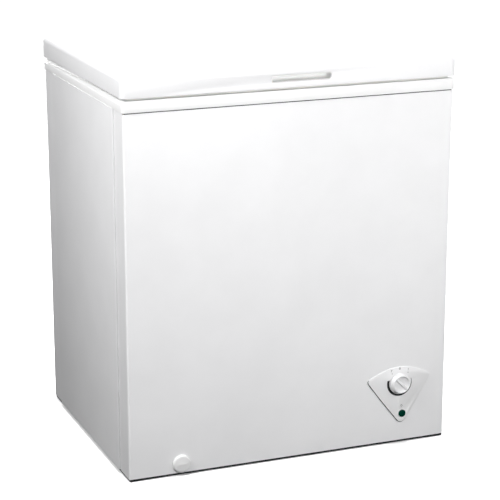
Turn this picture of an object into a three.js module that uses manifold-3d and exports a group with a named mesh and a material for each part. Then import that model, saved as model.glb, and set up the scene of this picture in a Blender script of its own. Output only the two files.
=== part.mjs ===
// Chest freezer of about 142 litres: a steel cabinet with a foamed tub, a plastic top frame,
// a hinged foamed lid, a thermostat with its dial, a front drain and a hermetic compressor.
// Millimetres, +Z up, front towards -Y. The origin is under the middle of the whole freezer, on the floor.
import * as THREE from "three";
import { mergeVertices } from "three/addons/utils/BufferGeometryUtils.js";
import Module from "manifold-3d";

const wasm = await Module();
wasm.setup();

// ---- Driving dimensions ----

// Fits
const clearance = 0.3; // between pieces that touch
const slip = 0.6; // around pieces that slide or turn
const reach = 5; // how far a cutting shape runs past what it cuts

// Cabinet panels
const cabinetWidth = 725; // over the front panel
const cabinetDepth = 560; // front panel to back panel
const overallHeight = 845; // floor to the lid's top
const floorGap = 6; // floor to the front panel's lower edge
const sheet = 0.8; // steel panels
const cabinetCorner = 4.5; // vertical corners
const frontReturn = 58; // front panel wrapped round onto each side
const rearReturn = 64; // back panel wrapped round onto each side
const sideProud = 3.5; // side panels stand out of the returns
const sideHem = 10; // inward edges of the side panels
const sideLift = 2; // side panels start this far above the front panel's lower edge

// Top frame
const collarHeight = 23.5;
const collarProud = 2.5; // over the front panel
const collarSkirt = 8; // hangs over the panels' upper edges
const collarStep = 0.7; // the upper band is set in
const collarUpperBand = 8;
const collarFall = 9; // the sides' outer edge falls this far towards the rear
const collarFallStart = 196; // behind the front, where the fall begins
const collarFallWidth = 8;
const ledgeWidth = 10; // rebate that the basket hangs in
const ledgeDepth = 10;
const lidGap = 4.6; // top frame to the lid's lower edge

// Tub
const wall = 67; // outside of the cabinet to the tub's inside
const tubFloor = 86; // above the floor
const linerSheet = 1.2;
const tubCorner = 30;
const linerFlange = 12;
const coilSpace = 9; // between the tub and the foam, for the evaporator
const stepLength = 195; // raised part of the tub over the compressor
const stepHeight = 204;

// Underside and compressor compartment
const panSheet = 1.2;
const panLift = 2; // pan's underside above the panels' lower edge
const panRim = 18;
const sideSpace = 8.5; // foam to the outside of the returns, for the condenser
const stepFoam = 50; // foam between the tub's step and the compartment
const compartmentRoof = 45;
const compartmentEndWall = 9;
const compartmentDepth = 398; // from the back panel
const footRadius = 18;
const footInset = 26;

// Compressor
const compressorRadius = 72;
const compressorHeight = 158;
const compressorFromRear = 130;
const mountPlate = { width: 188, depth: 150, sheet: 2.5, corner: 22 };
const mountHeight = 12; // pan to the mounting plate
const mountHole = { radius: 9, inset: 18 };

// Lid
const lidHeight = 42.4;
const lidOverhang = 4.2; // over the cabinet on every side
const lidEdge = 9; // rounding round the top
const lidCornerRadius = 12;
const lidSkin = 1.6;
const plugInset = 20; // inner panel's plug from the tub's sides
const plugDepth = 14; // below the lid's lower edge
const gasketInset = 11;
const gasketWidth = 18;
const handleLength = 135;
const handleHeight = 15;
const handleDepth = 23;
const handleOffset = 16; // to the right of the middle
const handleBelowTop = 22.8;
const handleWall = 1.2;

// Hinges
const hingeInset = 127.5; // from the cabinet's side
const pivotBehind = 15; // behind the back panel
const pivotBelowLid = 2.6; // below the lid's lower edge
const hingeSheet = 2.5;
const bracketWidth = 48;
const bracketLength = 100;
const pinRadius = 3;
const earRadius = 8;
const springRadius = 5;
const springWire = 0.8;
const springTurns = 5;

// Control panel, at the lower right of the front
const knobFromRight = 109.9;
const knobAboveFloor = 138;
const plateSheet = 2.3;
const knobRadius = 22.5;
const knobFaceRadius = 20;
const knobDepth = 12;
const dish = { radius: 17.5, depth: 4.5 }; // hollow in the dial's face
const gripAngle = -Math.PI / 4;
const shaftRadius = 3;
const lampOffset = [7.3, -70.4]; // from the knob's centre, to the right and up
const lampRadius = 9;
const lampProud = 2.2;
const housing = { left: 56, right: 56, below: 88, above: 34, depth: 54, sheet: 2 };
const thermostat = { width: 50, height: 34, depth: 34, behindPanel: 9 };

// Drain, at the lower left of the front
const drainFromLeft = 114;
const drainAboveFloor = 26;
const drainBore = 11.5;
const drainWall = 2.5;
const spoutWall = 1.8;
const spoutLength = 78;
const drainCapRadius = 20;
const drainCapDepth = 6;
const tubDrainFromFront = 130; // the plug in the tub's floor

// Thermostat's capillary and sensing bulb
const capillaryRadius = 2; // over its sleeve
const bulb = { radius: 3, length: 70 };

// Tubes of the cooling circuit
const evaporator = { radius: 2.8, turns: 4, rise: 96, below: 24 };
const condenser = { radius: 2.4, runs: 6, pitch: 116, fromFloor: 110, fromFront: 80, fromRear: 84 };
const lineRadius = 4;

// Rear grille
const grille = { left: 12, right: 10, bottom: 36, height: 195, sheet: 2, slots: 10, slotHeight: 6 };
const grilleOverlap = 10;
const glandFromGrille = 32;
const glandHeight = 60;

// Basket
const basketWidth = 200;
const basketHeight = 190;
const basketFromEnd = 11; // from the tub's right end
const basketWall = 2;
const basketFromSides = 12;
const basketBelowPlug = 4;
const hookBar = 2.5;

// ---- Worked out from the sizes above ----

const halfWidth = cabinetWidth / 2;
const halfDepth = cabinetDepth / 2;
const lidBottom = overallHeight - lidHeight;
const collarTop = lidBottom - lidGap;
const collarBottom = collarTop - collarHeight;
const deckBottom = collarBottom + collarSkirt;
const panelTop = deckBottom - clearance;
const flangeTop = deckBottom - clearance;
const foamTop = flangeTop - linerSheet - clearance;
const tub = { x: halfWidth - wall, y: halfDepth - wall };
const stepX = tub.x - stepLength;
const stepTop = tubFloor + stepHeight;
const panFloor = floorGap + panLift + panSheet;
const foamX = halfWidth - sideSpace;
const foamY = halfDepth - sheet - panSheet - 3 * clearance;
const compartment = {
  left: stepX + stepFoam,
  right: foamX - compartmentEndWall,
  front: halfDepth - compartmentDepth,
  roof: stepTop - compartmentRoof,
};
const lidX = halfWidth + lidOverhang;
const lidY = halfDepth + lidOverhang;
const pivot = { y: halfDepth + pivotBehind, z: lidBottom - pivotBelowLid };
const knobX = halfWidth - knobFromRight;
const knobZ = knobAboveFloor;
const plateBack = -halfDepth - clearance;
const plateFront = plateBack - plateSheet;
const drainX = -halfWidth + drainFromLeft;
const drainPipeRadius = drainBore + drainWall;
const tubDrainY = -halfDepth + tubDrainFromFront;
const knobBack = plateFront - slip;
const frontmost = knobBack - knobDepth;
const rearmost = pivot.y + earRadius;

// ---- Finishes ----

const paint = (color, roughness, metalness = 0) => new THREE.MeshStandardMaterial(
  { color, roughness, metalness },
);
const finishes = {
  whitePaint: () => paint(0xf1f1ef, 0.35),
  whitePlastic: () => paint(0xeeeeec, 0.4),
  greyPlastic: () => paint(0xdcdcdc, 0.45),
  darkPlastic: () => paint(0x26282a, 0.6),
  greenLens: () => paint(0x0f3a24, 0.15),
  rubber: () => paint(0x303234, 0.8),
  gasketVinyl: () => paint(0xd8d8d4, 0.7),
  foam: () => paint(0xe6d9a8, 0.9),
  zincSteel: () => paint(0xb6babd, 0.35, 1),
  blackSteel: () => paint(0x17181a, 0.45, 0.4),
  copper: () => paint(0xb4693f, 0.3, 1),
  aluminium: () => paint(0xc6c9cc, 0.35, 1),
  whiteWire: () => paint(0xf0f0ee, 0.4),
};

// ---- Shapes: each function gives a closed solid ----

function solid(geometry) {
  const bare = geometry.clone();
  bare.deleteAttribute("normal");
  bare.deleteAttribute("uv");
  const merged = mergeVertices(bare, 1e-4);
  const corners = merged.index.array;
  const triVerts = [];
  for (let i = 0; i < corners.length; i += 3) {
    const [a, b, c] = [corners[i], corners[i + 1], corners[i + 2]];
    if (a !== b && b !== c && c !== a) triVerts.push(a, b, c);
  }
  return new wasm.Manifold(
    new wasm.Mesh({
      numProp: 3,
      vertProperties: merged.getAttribute("position").array,
      triVerts: new Uint32Array(triVerts),
    }),
  );
}

function geometryOf(made) {
  const mesh = made.getMesh();
  const geometry = new THREE.BufferGeometry();
  geometry.setAttribute("position", new THREE.BufferAttribute(mesh.vertProperties, 3));
  geometry.setIndex(new THREE.BufferAttribute(mesh.triVerts, 1));
  geometry.computeVertexNormals();
  return geometry;
}

// A block between two corners.
function block([x0, y0, z0], [x1, y1, z1]) {
  const geometry = new THREE.BoxGeometry(x1 - x0, y1 - y0, z1 - z0);
  return solid(geometry.translate((x0 + x1) / 2, (y0 + y1) / 2, (z0 + z1) / 2));
}

const extruded = (shape, depth, curveSegments = 3) =>
  new THREE.ExtrudeGeometry(shape, { depth, bevelEnabled: false, curveSegments });

// A plan outline (x, y) between two heights.
const raised = (shape, z0, z1, segments) => solid(extruded(shape, z1 - z0, segments).translate(0, 0, z0));

// An outline seen from the front (x, z) between two depths.
const faced = (shape, y0, y1, segments) =>
  solid(extruded(shape, y1 - y0, segments).rotateX(Math.PI / 2).translate(0, y1, 0));

// An outline seen from the side (y, z) between two stations along X.
const sided = (shape, x0, x1, segments) =>
  solid(extruded(shape, x1 - x0, segments).rotateZ(Math.PI / 2).rotateY(Math.PI / 2).translate(x0, 0, 0));

// Round bars along each axis.
const barX = (radius, x0, x1, y, z, sides = 12) =>
  solid(
    new THREE.CylinderGeometry(radius, radius, x1 - x0, sides).rotateZ(-Math.PI / 2).translate(
      (x0 + x1) / 2, y, z,
    ),
  );
const barY = (radius, x, y0, y1, z, sides = 16) =>
  solid(new THREE.CylinderGeometry(radius, radius, y1 - y0, sides).translate(x, (y0 + y1) / 2, z));
const barZ = (radius, x, y, z0, z1, sides = 16) =>
  solid(
    new THREE.CylinderGeometry(radius, radius, z1 - z0, sides).rotateX(Math.PI / 2).translate(
      x, y, (z0 + z1) / 2,
    ),
  );

// A turned piece about Z; the profile's points are [radius, z], anticlockwise.
function turned(profile, sides = 20) {
  const points = profile.map(([r, z]) => new THREE.Vector2(r, z));
  return new THREE.LatheGeometry(points, sides).rotateX(Math.PI / 2);
}

// A path through corner points, with each corner bent to a radius.
class BentPath extends THREE.Curve {
  constructor(points) {
    super();
    this.points = points;
  }
  getPoint(t, target = new THREE.Vector3()) {
    const last = this.points.length - 1;
    const i = Math.min(Math.floor(t * last + 1e-9), last - 1);
    return target.lerpVectors(this.points[i], this.points[i + 1], t * last - i);
  }
  getPointAt(u, target) {
    return this.getPoint(u, target);
  }
  getTangentAt(u, target = new THREE.Vector3()) {
    const last = this.points.length - 1;
    const i = Math.round(u * last);
    const before = this.points[Math.max(i - 1, 0)];
    const after = this.points[Math.min(i + 1, last)];
    return target.subVectors(after, before).normalize();
  }
}

function bent(corners, radius, steps = 4) {
  const points = corners.map((c) => new THREE.Vector3(...c));
  const path = [points[0]];
  for (let i = 1; i < points.length - 1; i++) {
    const back = points[i - 1].clone().sub(points[i]);
    const ahead = points[i + 1].clone().sub(points[i]);
    const cut = Math.min(radius, back.length() / 2, ahead.length() / 2);
    const half = back.angleTo(ahead) / 2;
    const turn = Math.PI - 2 * half;
    const middle = back.normalize().clone().add(ahead.normalize()).normalize();
    const centre = points[i].clone().addScaledVector(middle, cut / Math.cos(half));
    const first = points[i].clone().addScaledVector(back, cut).sub(centre);
    const final = points[i].clone().addScaledVector(ahead, cut).sub(centre);
    for (let k = 0; k <= steps; k++) {
      const [before, after] = [Math.sin(turn * (1 - k / steps)), Math.sin((turn * k) / steps)];
      const arm = first.clone().multiplyScalar(before).addScaledVector(final, after);
      path.push(arm.divideScalar(Math.sin(turn)).add(centre));
    }
  }
  path.push(points.at(-1));
  return path;
}

// A round tube or wire along a list of points.
function tube(points, radius, sides = 8) {
  const path = new BentPath(points);
  const section = new THREE.Shape();
  for (let i = 0; i < sides; i++) {
    const angle = (2 * Math.PI * i) / sides;
    const [x, y] = [radius * Math.cos(angle), radius * Math.sin(angle)];
    if (i === 0) section.moveTo(x, y);
    else section.lineTo(x, y);
  }
  const settings = { steps: points.length - 1, extrudePath: path, bevelEnabled: false };
  return solid(new THREE.ExtrudeGeometry(section, settings));
}

// A rectangle with round corners, between two corners of its plane.
function plate(x0, x1, y0, y1, radius, outline = new THREE.Shape()) {
  const half = Math.PI / 2;
  outline.absarc(x1 - radius, y0 + radius, radius, -half, 0);
  outline.absarc(x1 - radius, y1 - radius, radius, 0, half);
  outline.absarc(x0 + radius, y1 - radius, radius, half, 2 * half);
  outline.absarc(x0 + radius, y0 + radius, radius, 2 * half, 3 * half);
  outline.closePath();
  return outline;
}

const centred = (x, y, radius) => plate(-x, x, -y, y, radius);

function polygon(points) {
  const shape = new THREE.Shape();
  points.forEach(([x, y], i) => (i === 0 ? shape.moveTo(x, y) : shape.lineTo(x, y)));
  shape.closePath();
  return shape;
}

// ---- Assembly ----

const freezer = new THREE.Group();
freezer.position.y = -(frontmost + rearmost) / 2;
const cabinet = new THREE.Group();
const cooling = new THREE.Group();
const controls = new THREE.Group();
const drain = new THREE.Group();
const lid = new THREE.Group();
freezer.add(cabinet, cooling, controls, drain, lid);

function piece(group, name, made, finish, position = [0, 0, 0]) {
  const mesh = new THREE.Mesh(made.isBufferGeometry ? made : geometryOf(made), finish());
  mesh.name = name;
  mesh.position.set(...position);
  group.add(mesh);
  return mesh;
}

// ---- Cabinet panels ----

// Plan outline of a sheet bent round the front or back: a face and two returns.
function wrapOutline(returnLength) {
  const [x, y, r] = [halfWidth, halfDepth, cabinetCorner];
  const end = -y + returnLength;
  const shape = new THREE.Shape();
  shape.moveTo(-x, end);
  shape.absarc(-x + r, -y + r, r, Math.PI, 1.5 * Math.PI);
  shape.absarc(x - r, -y + r, r, -Math.PI / 2, 0);
  shape.lineTo(x, end);
  shape.lineTo(x - sheet, end);
  shape.absarc(x - r, -y + r, r - sheet, 0, -Math.PI / 2, true);
  shape.absarc(-x + r, -y + r, r - sheet, -Math.PI / 2, -Math.PI, true);
  shape.lineTo(-x + sheet, end);
  shape.closePath();
  return shape;
}

const lampX = knobX + lampOffset[0];
const lampZ = knobZ + lampOffset[1];
const throughFront = (radius, x, z) => barY(radius, x, -halfDepth - reach, -halfDepth + reach, z);
const frontPanel = raised(wrapOutline(frontReturn), floorGap, panelTop)
  .subtract(throughFront(shaftRadius + 4, knobX, knobZ))
  .subtract(throughFront(lampRadius - 1 + slip, lampX, lampZ))
  .subtract(throughFront(drainPipeRadius + slip, drainX, drainAboveFloor));
piece(cabinet, "front_panel", frontPanel, finishes.whitePaint);

const grilleBox = {
  x0: compartment.left + grille.left,
  x1: compartment.right - grille.right,
  z0: grille.bottom,
  z1: grille.bottom + grille.height,
};
const glandX = grilleBox.x0 - glandFromGrille;
const glandRadius = 9;
const throughRear = (radius, x, z) => barY(radius, x, halfDepth - reach, halfDepth + reach, z, 12);
const hingeStations = [-halfWidth + hingeInset, halfWidth - hingeInset];
const bracketScrews = [bracketLength * 0.5, bracketLength * 0.85];
const screwRadius = 1.9;
const grilleScrews = [grilleBox.x0 + 0.2 * grilleOverlap, grilleBox.x1 - 0.2 * grilleOverlap];
const grilleScrewZ = grilleBox.z1 + grilleOverlap / 2;
const backWrap = extruded(wrapOutline(rearReturn), panelTop - floorGap).rotateZ(Math.PI).translate(
  0, 0, floorGap,
);
let backPanel = solid(backWrap)
  .subtract(block(
    [grilleBox.x0, halfDepth - reach, grilleBox.z0],
    [grilleBox.x1, halfDepth + reach, grilleBox.z1],
  ))
  .subtract(throughRear(glandRadius + clearance, glandX, glandHeight));
for (const x of hingeStations)
  for (const drop of bracketScrews) {
    backPanel = backPanel.subtract(throughRear(screwRadius + clearance, x, pivot.z - drop));
  }
for (const x of grilleScrews) {
  backPanel = backPanel.subtract(throughRear(screwRadius + clearance, x, grilleScrewZ));
}
piece(cabinet, "back_panel", backPanel, finishes.whitePaint);

// A side panel is a shallow pan whose front and rear edges are hemmed inwards.
function sidePanel(side) {
  const outer = side * (halfWidth + sideProud);
  const inner = outer - side * sheet;
  const hem = outer - side * sideHem;
  const front = -halfDepth + frontReturn + clearance;
  const rear = halfDepth - rearReturn - clearance;
  const outline = polygon([
    [hem, front], [outer, front], [outer, rear], [hem, rear],
    [hem, rear - sheet], [inner, rear - sheet], [inner, front + sheet], [hem, front + sheet],
  ]);
  return raised(outline, floorGap + sideLift, collarBottom - clearance);
}
piece(cabinet, "left_side_panel", sidePanel(-1), finishes.whitePaint);
piece(cabinet, "right_side_panel", sidePanel(1), finishes.whitePaint);

// ---- Top frame: a moulded ring over the panels, the foam and the tub's rim ----

const collarX = halfWidth + collarProud;
const collarY = halfDepth + collarProud;
const upperBand = collarTop - collarUpperBand;
const skirtX = halfWidth + clearance;
const skirtY = halfDepth + clearance;
const cutRing = (x, y, radius, z0, z1) => raised(centred(x, y, radius), z0, z1);
const fallOutline = polygon([
  [-halfDepth + collarFallStart, collarTop], [collarY, collarTop - collarFall],
  [collarY + reach, collarTop - collarFall], [collarY + reach, collarTop + reach],
  [-halfDepth + collarFallStart, collarTop + reach],
]);
const topFrame = raised(centred(collarX, collarY, cabinetCorner + collarProud), collarBottom, upperBand)
  .add(
    raised(
      centred(collarX - collarStep, collarY - collarStep, cabinetCorner + collarProud), collarBottom,
      collarTop,
    ),
  )
  .subtract(cutRing(skirtX, skirtY, cabinetCorner, collarBottom - reach, deckBottom))
  .subtract(cutRing(tub.x, tub.y, tubCorner, collarBottom, collarTop + reach))
  .subtract(
    cutRing(tub.x + ledgeWidth, tub.y + ledgeWidth, tubCorner, collarTop - ledgeDepth, collarTop + reach),
  )
  .subtract(sided(fallOutline, -collarX - reach, -collarX + collarFallWidth))
  .subtract(sided(fallOutline, collarX - collarFallWidth, collarX + reach));
piece(cabinet, "top_frame", topFrame, finishes.whitePlastic);

// ---- Tub: a stepped liner ----

// The space of the tub, grown sideways and downwards.
function tubSpace(sideways, downwards, top) {
  const [x, y, r] = [tub.x + sideways, tub.y + sideways, tubCorner + sideways];
  return raised(centred(x, y, r), stepTop - downwards, top)
    .add(raised(plate(-x, stepX + sideways, -y, y, r), tubFloor - downwards, stepTop + reach));
}

const tubDrain = (radius, z0, z1) => barZ(radius, drainX, tubDrainY, z0, z1);
const flangeRing = centred(tub.x + linerFlange, tub.y + linerFlange, tubCorner + linerFlange);
const innerLiner = tubSpace(linerSheet, linerSheet, flangeTop)
  .add(raised(flangeRing, flangeTop - linerSheet, flangeTop))
  .subtract(tubSpace(0, 0, flangeTop + reach))
  .subtract(tubDrain(drainBore + clearance, tubFloor - reach, tubFloor + reach));
piece(cabinet, "inner_liner", innerLiner, finishes.aluminium);

// ---- Foam: fills the cabinet round the tub, with spaces for what it holds; it is poured in two
// lots that meet level with the compartment's roof ----

const housingFront = -halfDepth + sheet + clearance;
const housingBox = {
  x0: knobX - housing.left,
  x1: knobX + housing.right,
  z0: knobZ - housing.below,
  z1: knobZ + housing.above,
  back: housingFront + housing.depth,
};
const capillaryX = knobX - 30;
const capillaryTop = stepTop + 50;
const foamCavity = linerSheet + coilSpace;
const foamBlock = (z0, z1) => block([-foamX, -foamY, z0], [foamX, foamY, z1])
  .subtract(tubSpace(foamCavity, linerSheet + clearance, foamTop + reach))
  .subtract(block(
    [housingBox.x0 - clearance, -foamY - reach, housingBox.z0 - clearance],
    [housingBox.x1 + clearance, housingBox.back + clearance, housingBox.z1 + clearance],
  ))
  .subtract(block(
    [capillaryX - 5, housingBox.back - reach, knobZ - 5],
    [capillaryX + 5, housingBox.back + 14, capillaryTop + 5],
  ))
  .subtract(block(
    [capillaryX - 5, housingBox.back - reach, capillaryTop - 5],
    [capillaryX + 5, -tub.y - linerSheet - clearance, capillaryTop + 5],
  ))
  .subtract(barY(drainPipeRadius + slip, drainX, -halfDepth, tubDrainY + drainPipeRadius, drainAboveFloor))
  .subtract(tubDrain(drainPipeRadius + slip, drainAboveFloor, tubFloor + reach))
  .subtract(barY(glandRadius + reach, glandX, halfDepth - 25, halfDepth + reach, glandHeight, 12));
const lowerFoam = foamBlock(panFloor + clearance, compartment.roof - clearance).subtract(block(
  [compartment.left, compartment.front, panFloor - reach],
  [compartment.right, foamY + reach, compartment.roof],
));
piece(cabinet, "lower_foam", lowerFoam, finishes.foam);
piece(cabinet, "upper_foam", foamBlock(compartment.roof, foamTop), finishes.foam);

// ---- Base pan and feet ----

const panX = halfWidth + sideProud - sideHem - 2 * clearance;
const panY = halfDepth - sheet - clearance;
const panBottom = panFloor - panSheet;
const basePan = block([-panX, -panY, panBottom], [panX, panY, panBottom + panRim])
  .subtract(
    block(
      [-panX + panSheet, -panY + panSheet, panFloor],
      [panX - panSheet, panY - panSheet, panFloor + panRim],
    ),
  )
  .subtract(barY(drainPipeRadius + slip, drainX, -panY - reach, -panY + reach, drainAboveFloor));
piece(cabinet, "base_pan", basePan, finishes.zincSteel);

const footHeight = panBottom - clearance;
const footProfile = [
  [0, 0], [footRadius - 2, 0], [footRadius, 2], [footRadius, footHeight - 3],
  [footRadius - 4, footHeight], [0, footHeight],
];
for (const [end, y] of [["front", -1], ["rear", 1]])
  for (const [hand, x] of [["left", -1], ["right", 1]]) {
    const place = [x * (halfWidth - footInset), y * (halfDepth - footInset), 0];
    piece(cabinet, `foot_${end}_${hand}`, solid(turned(footProfile, 12)), finishes.darkPlastic, place);
  }

// ---- Rear grille, its screws, and the gland for the mains lead ----

const grillePlate = plate(
  grilleBox.x0 - grilleOverlap, grilleBox.x1 + grilleOverlap, grilleBox.z0 - grilleOverlap,
  grilleBox.z1 + grilleOverlap, 4,
);
const slotPitch = grille.height / (grille.slots + 1);
let grilleMade = faced(grillePlate, halfDepth + clearance, halfDepth + clearance + grille.sheet);
for (let i = 1; i <= grille.slots; i++) {
  const z = grilleBox.z0 + i * slotPitch;
  grilleMade = grilleMade.subtract(block(
    [grilleBox.x0 + grilleOverlap, halfDepth - reach, z - grille.slotHeight / 2],
    [grilleBox.x1 - grilleOverlap, halfDepth + reach, z + grille.slotHeight / 2],
  ));
}
for (const x of grilleScrews) {
  grilleMade = grilleMade.subtract(throughRear(screwRadius + clearance, x, grilleScrewZ));
}
piece(cabinet, "compressor_grille", grilleMade, finishes.darkPlastic);

// A pan-head screw along Y, its head's underside at y = 0 and its tip towards -Y.
function screw(length) {
  const [head, headHeight] = [screwRadius * 1.9, screwRadius * 1.2];
  const profile = [
    [0, -length], [screwRadius, -length], [screwRadius, 0], [head, 0], [head * 0.8, headHeight],
    [0, headHeight],
  ];
  return solid(turned(profile, 10).rotateX(-Math.PI / 2));
}
const shankRoom = halfDepth - foamY - clearance; // from the back panel's outside to the foam
grilleScrews.forEach((x, i) => {
  const y = halfDepth + grille.sheet + 2 * clearance;
  piece(
    cabinet, `grille_screw_${i + 1}`, screw(y - halfDepth + shankRoom), finishes.zincSteel,
    [x, y, grilleScrewZ],
  );
});

const leadRadius = 4;
const glandProfile = [
  [leadRadius, -12], [glandRadius, -12], [glandRadius, clearance], [glandRadius + 3, clearance],
  [glandRadius + 3, 4], [glandRadius - 2, 6], [leadRadius + 2, 20], [leadRadius, 20], [leadRadius, -12],
];
const gland = solid(turned(glandProfile, 10).rotateX(-Math.PI / 2));
piece(cabinet, "mains_lead_gland", gland, finishes.darkPlastic, [glandX, halfDepth, glandHeight]);

// ---- Compressor and the pipes round it ----

const compressorX = (compartment.left + compartment.right) / 2;
const compressorY = halfDepth - compressorFromRear;
const plateBottom = panFloor + mountHeight;
const plateTop = plateBottom + mountPlate.sheet;
const mountX = mountPlate.width / 2 - mountHole.inset;
const mountY = mountPlate.depth / 2 - mountHole.inset;
const mountPlaces = [[-1, -1], [1, -1], [1, 1], [-1, 1]].map(
  ([x, y]) => [compressorX + x * mountX, compressorY + y * mountY],
);
let mountMade = raised(
  plate(
    compressorX - mountPlate.width / 2, compressorX + mountPlate.width / 2,
    compressorY - mountPlate.depth / 2, compressorY + mountPlate.depth / 2, mountPlate.corner,
  ), plateBottom, plateTop,
);
for (const [x, y] of mountPlaces) {
  mountMade = mountMade.subtract(barZ(mountHole.radius, x, y, 0, plateTop + reach, 12));
}
piece(cooling, "compressor_mounting_plate", mountMade, finishes.blackSteel);

const grommetBore = 4;
const neck = mountHole.radius - slip;
const grommetProfile = [
  [grommetBore, clearance], [neck + 4, clearance], [neck + 4, mountHeight - clearance],
  [neck, mountHeight - clearance],
  [neck, mountHeight + mountPlate.sheet + clearance],
  [neck + 2, mountHeight + mountPlate.sheet + clearance],
  [neck + 1, mountHeight + mountPlate.sheet + 4], [grommetBore, mountHeight + mountPlate.sheet + 4],
  [grommetBore, clearance],
];
mountPlaces.forEach(([x, y], i) => {
  piece(
    cooling, `rubber_mount_${i + 1}`, solid(turned(grommetProfile, 8)), finishes.rubber,
    [x, y, panFloor],
  );
});

const [cr, ch] = [compressorRadius, compressorHeight];
const seam = 3;
const compressorProfile = [
  [0, 0], [cr * 0.55, 0], [cr * 0.88, ch * 0.1], [cr - seam, ch * 0.24], [cr - seam, ch * 0.5],
  [cr, ch * 0.51],
  [cr, ch * 0.55], [cr - seam, ch * 0.56], [cr - seam * 2, ch * 0.76], [cr * 0.8, ch * 0.91],
  [cr * 0.45, ch * 0.985], [0, ch],
];
const compressorZ = plateTop + clearance;
piece(
  cooling, "compressor", solid(turned(compressorProfile, 18)), finishes.blackSteel,
  [compressorX, compressorY, compressorZ],
);

const relay = { width: 62, depth: 34, height: 74, above: 36 };
const relayBack = compressorY - compressorRadius - clearance;
const relayShape = plate(
  compressorX - relay.width / 2, compressorX + relay.width / 2,
  compressorZ + relay.above, compressorZ + relay.above + relay.height, 6,
);
piece(
  cooling, "relay_cover", faced(relayShape, relayBack - relay.depth, relayBack, 3),
  finishes.darkPlastic,
);

const lineZ = compressorZ + compressorHeight * 0.65;
const shellSide = compressorRadius + slip;
const lineRun = compressorZ + compressorHeight + 2.5 * lineRadius;
const suctionLine = bent(
  [
    [compressorX - shellSide, compressorY, lineZ],
    [compressorX - shellSide - 11, compressorY, lineZ],
    [compressorX - shellSide - 11, compressorY, lineRun],
    [compressorX - shellSide - 11, compartment.front + 60, lineRun],
    [compartment.left + clearance, compartment.front + 60, lineRun],
  ], 9,
);
piece(cooling, "suction_line", tube(suctionLine, lineRadius), finishes.copper);
const dischargeLine = bent(
  [
    [compressorX + shellSide, compressorY - 20, lineZ - 12],
    [compressorX + shellSide + 12, compressorY - 20, lineZ - 12],
    [compressorX + shellSide + 12, compressorY - 20, lineRun],
    [compressorX + shellSide + 12, compartment.front + 90, lineRun],
    [compartment.right - clearance, compartment.front + 90, lineRun],
  ], 7,
);
piece(cooling, "discharge_line", tube(dischargeLine, lineRadius * 0.7), finishes.copper);

const drierProfile = [[0, 0], [2, 0], [2.5, 12], [9, 20], [9, 92], [3, 102], [2.5, 114], [0, 114]];
const drierPlace = [compartment.left + 16, halfDepth - 42, panFloor + 40];
piece(cooling, "filter_drier", solid(turned(drierProfile, 10)), finishes.copper, drierPlace);

// Evaporator: a flat-sided helix wound round the tub, above its step.
function evaporatorPath() {
  const offset = linerSheet + coilSpace / 2;
  const [x, y] = [tub.x + offset, tub.y + offset];
  const lap = [[-x, -y], [x, -y], [x, y], [-x, y]];
  const top = foamTop - evaporator.below;
  const corners = [[-x, 0, top]];
  for (let i = 0; i < 4 * evaporator.turns; i++) {
    const [cx, cy] = lap[i % 4];
    corners.push([cx, cy, top - (evaporator.rise * i) / 4]);
  }
  corners.push([-x, 0, top - evaporator.rise * evaporator.turns]);
  return bent(corners, tubCorner + offset);
}
piece(cooling, "evaporator_coil", tube(evaporatorPath(), evaporator.radius, 6), finishes.aluminium);

// Condenser: a serpentine behind each side panel.
function condenserPath(side) {
  const x = side * (foamX + 2 * clearance + condenser.radius);
  const front = -halfDepth + condenser.fromFront;
  const rear = halfDepth - condenser.fromRear;
  const corners = [];
  for (let run = 0; run < condenser.runs; run++) {
    const z = condenser.fromFloor + run * condenser.pitch;
    const ends = run % 2 ? [rear, front] : [front, rear];
    for (const y of ends) corners.push([x, y, z]);
  }
  return bent(corners, condenser.pitch / 2, 3);
}
piece(cooling, "condenser_coil_left", tube(condenserPath(-1), condenser.radius, 5), finishes.copper);
piece(cooling, "condenser_coil_right", tube(condenserPath(1), condenser.radius, 5), finishes.copper);

// ---- Control panel ----

// Rounded shield outline, its points given from the dial's centre.
function shieldOutline() {
  const shape = new THREE.Shape();
  const at = (x, z) => [knobX + x, knobZ + z];
  shape.moveTo(...at(-72, 4));
  shape.quadraticCurveTo(...at(-39, -41.5), ...at(-4, -84));
  shape.quadraticCurveTo(...at(5.5, -96), ...at(17.5, -82.5));
  shape.quadraticCurveTo(...at(44.5, -40.5), ...at(69, 3));
  shape.quadraticCurveTo(...at(76, 13.5), ...at(63.5, 18.5));
  shape.quadraticCurveTo(...at(-1.5, 56), ...at(-66.5, 17.5));
  shape.quadraticCurveTo(...at(-79.5, 13.5), ...at(-72, 4));
  return shape;
}
const controlPlate = faced(shieldOutline(), plateFront, plateBack, 6)
  .subtract(throughFront(shaftRadius + 4, knobX, knobZ))
  .subtract(throughFront(lampRadius - 1 + slip, lampX, lampZ));
piece(controls, "control_plate", controlPlate, finishes.greyPlastic);

const controlHousing = block(
  [housingBox.x0, housingFront, housingBox.z0],
  [housingBox.x1, housingBox.back, housingBox.z1],
)
  .subtract(block(
    [housingBox.x0 + housing.sheet, housingFront - reach, housingBox.z0 + housing.sheet],
    [housingBox.x1 - housing.sheet, housingBox.back - housing.sheet, housingBox.z1 - housing.sheet],
  ))
  .subtract(
    barY(capillaryRadius + 1, capillaryX, housingBox.back - reach, housingBox.back + reach, knobZ, 8),
  );
piece(controls, "control_housing", controlHousing, finishes.whitePlastic);

const bodyFront = -halfDepth + thermostat.behindPanel;
const bodyBack = bodyFront + thermostat.depth;
const thermostatShape = plate(
  knobX - thermostat.width / 2, knobX + thermostat.width / 2,
  knobZ - thermostat.height / 2, knobZ + thermostat.height / 2, 3,
);
piece(controls, "thermostat_body", faced(thermostatShape, bodyFront, bodyBack, 2), finishes.zincSteel);

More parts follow.
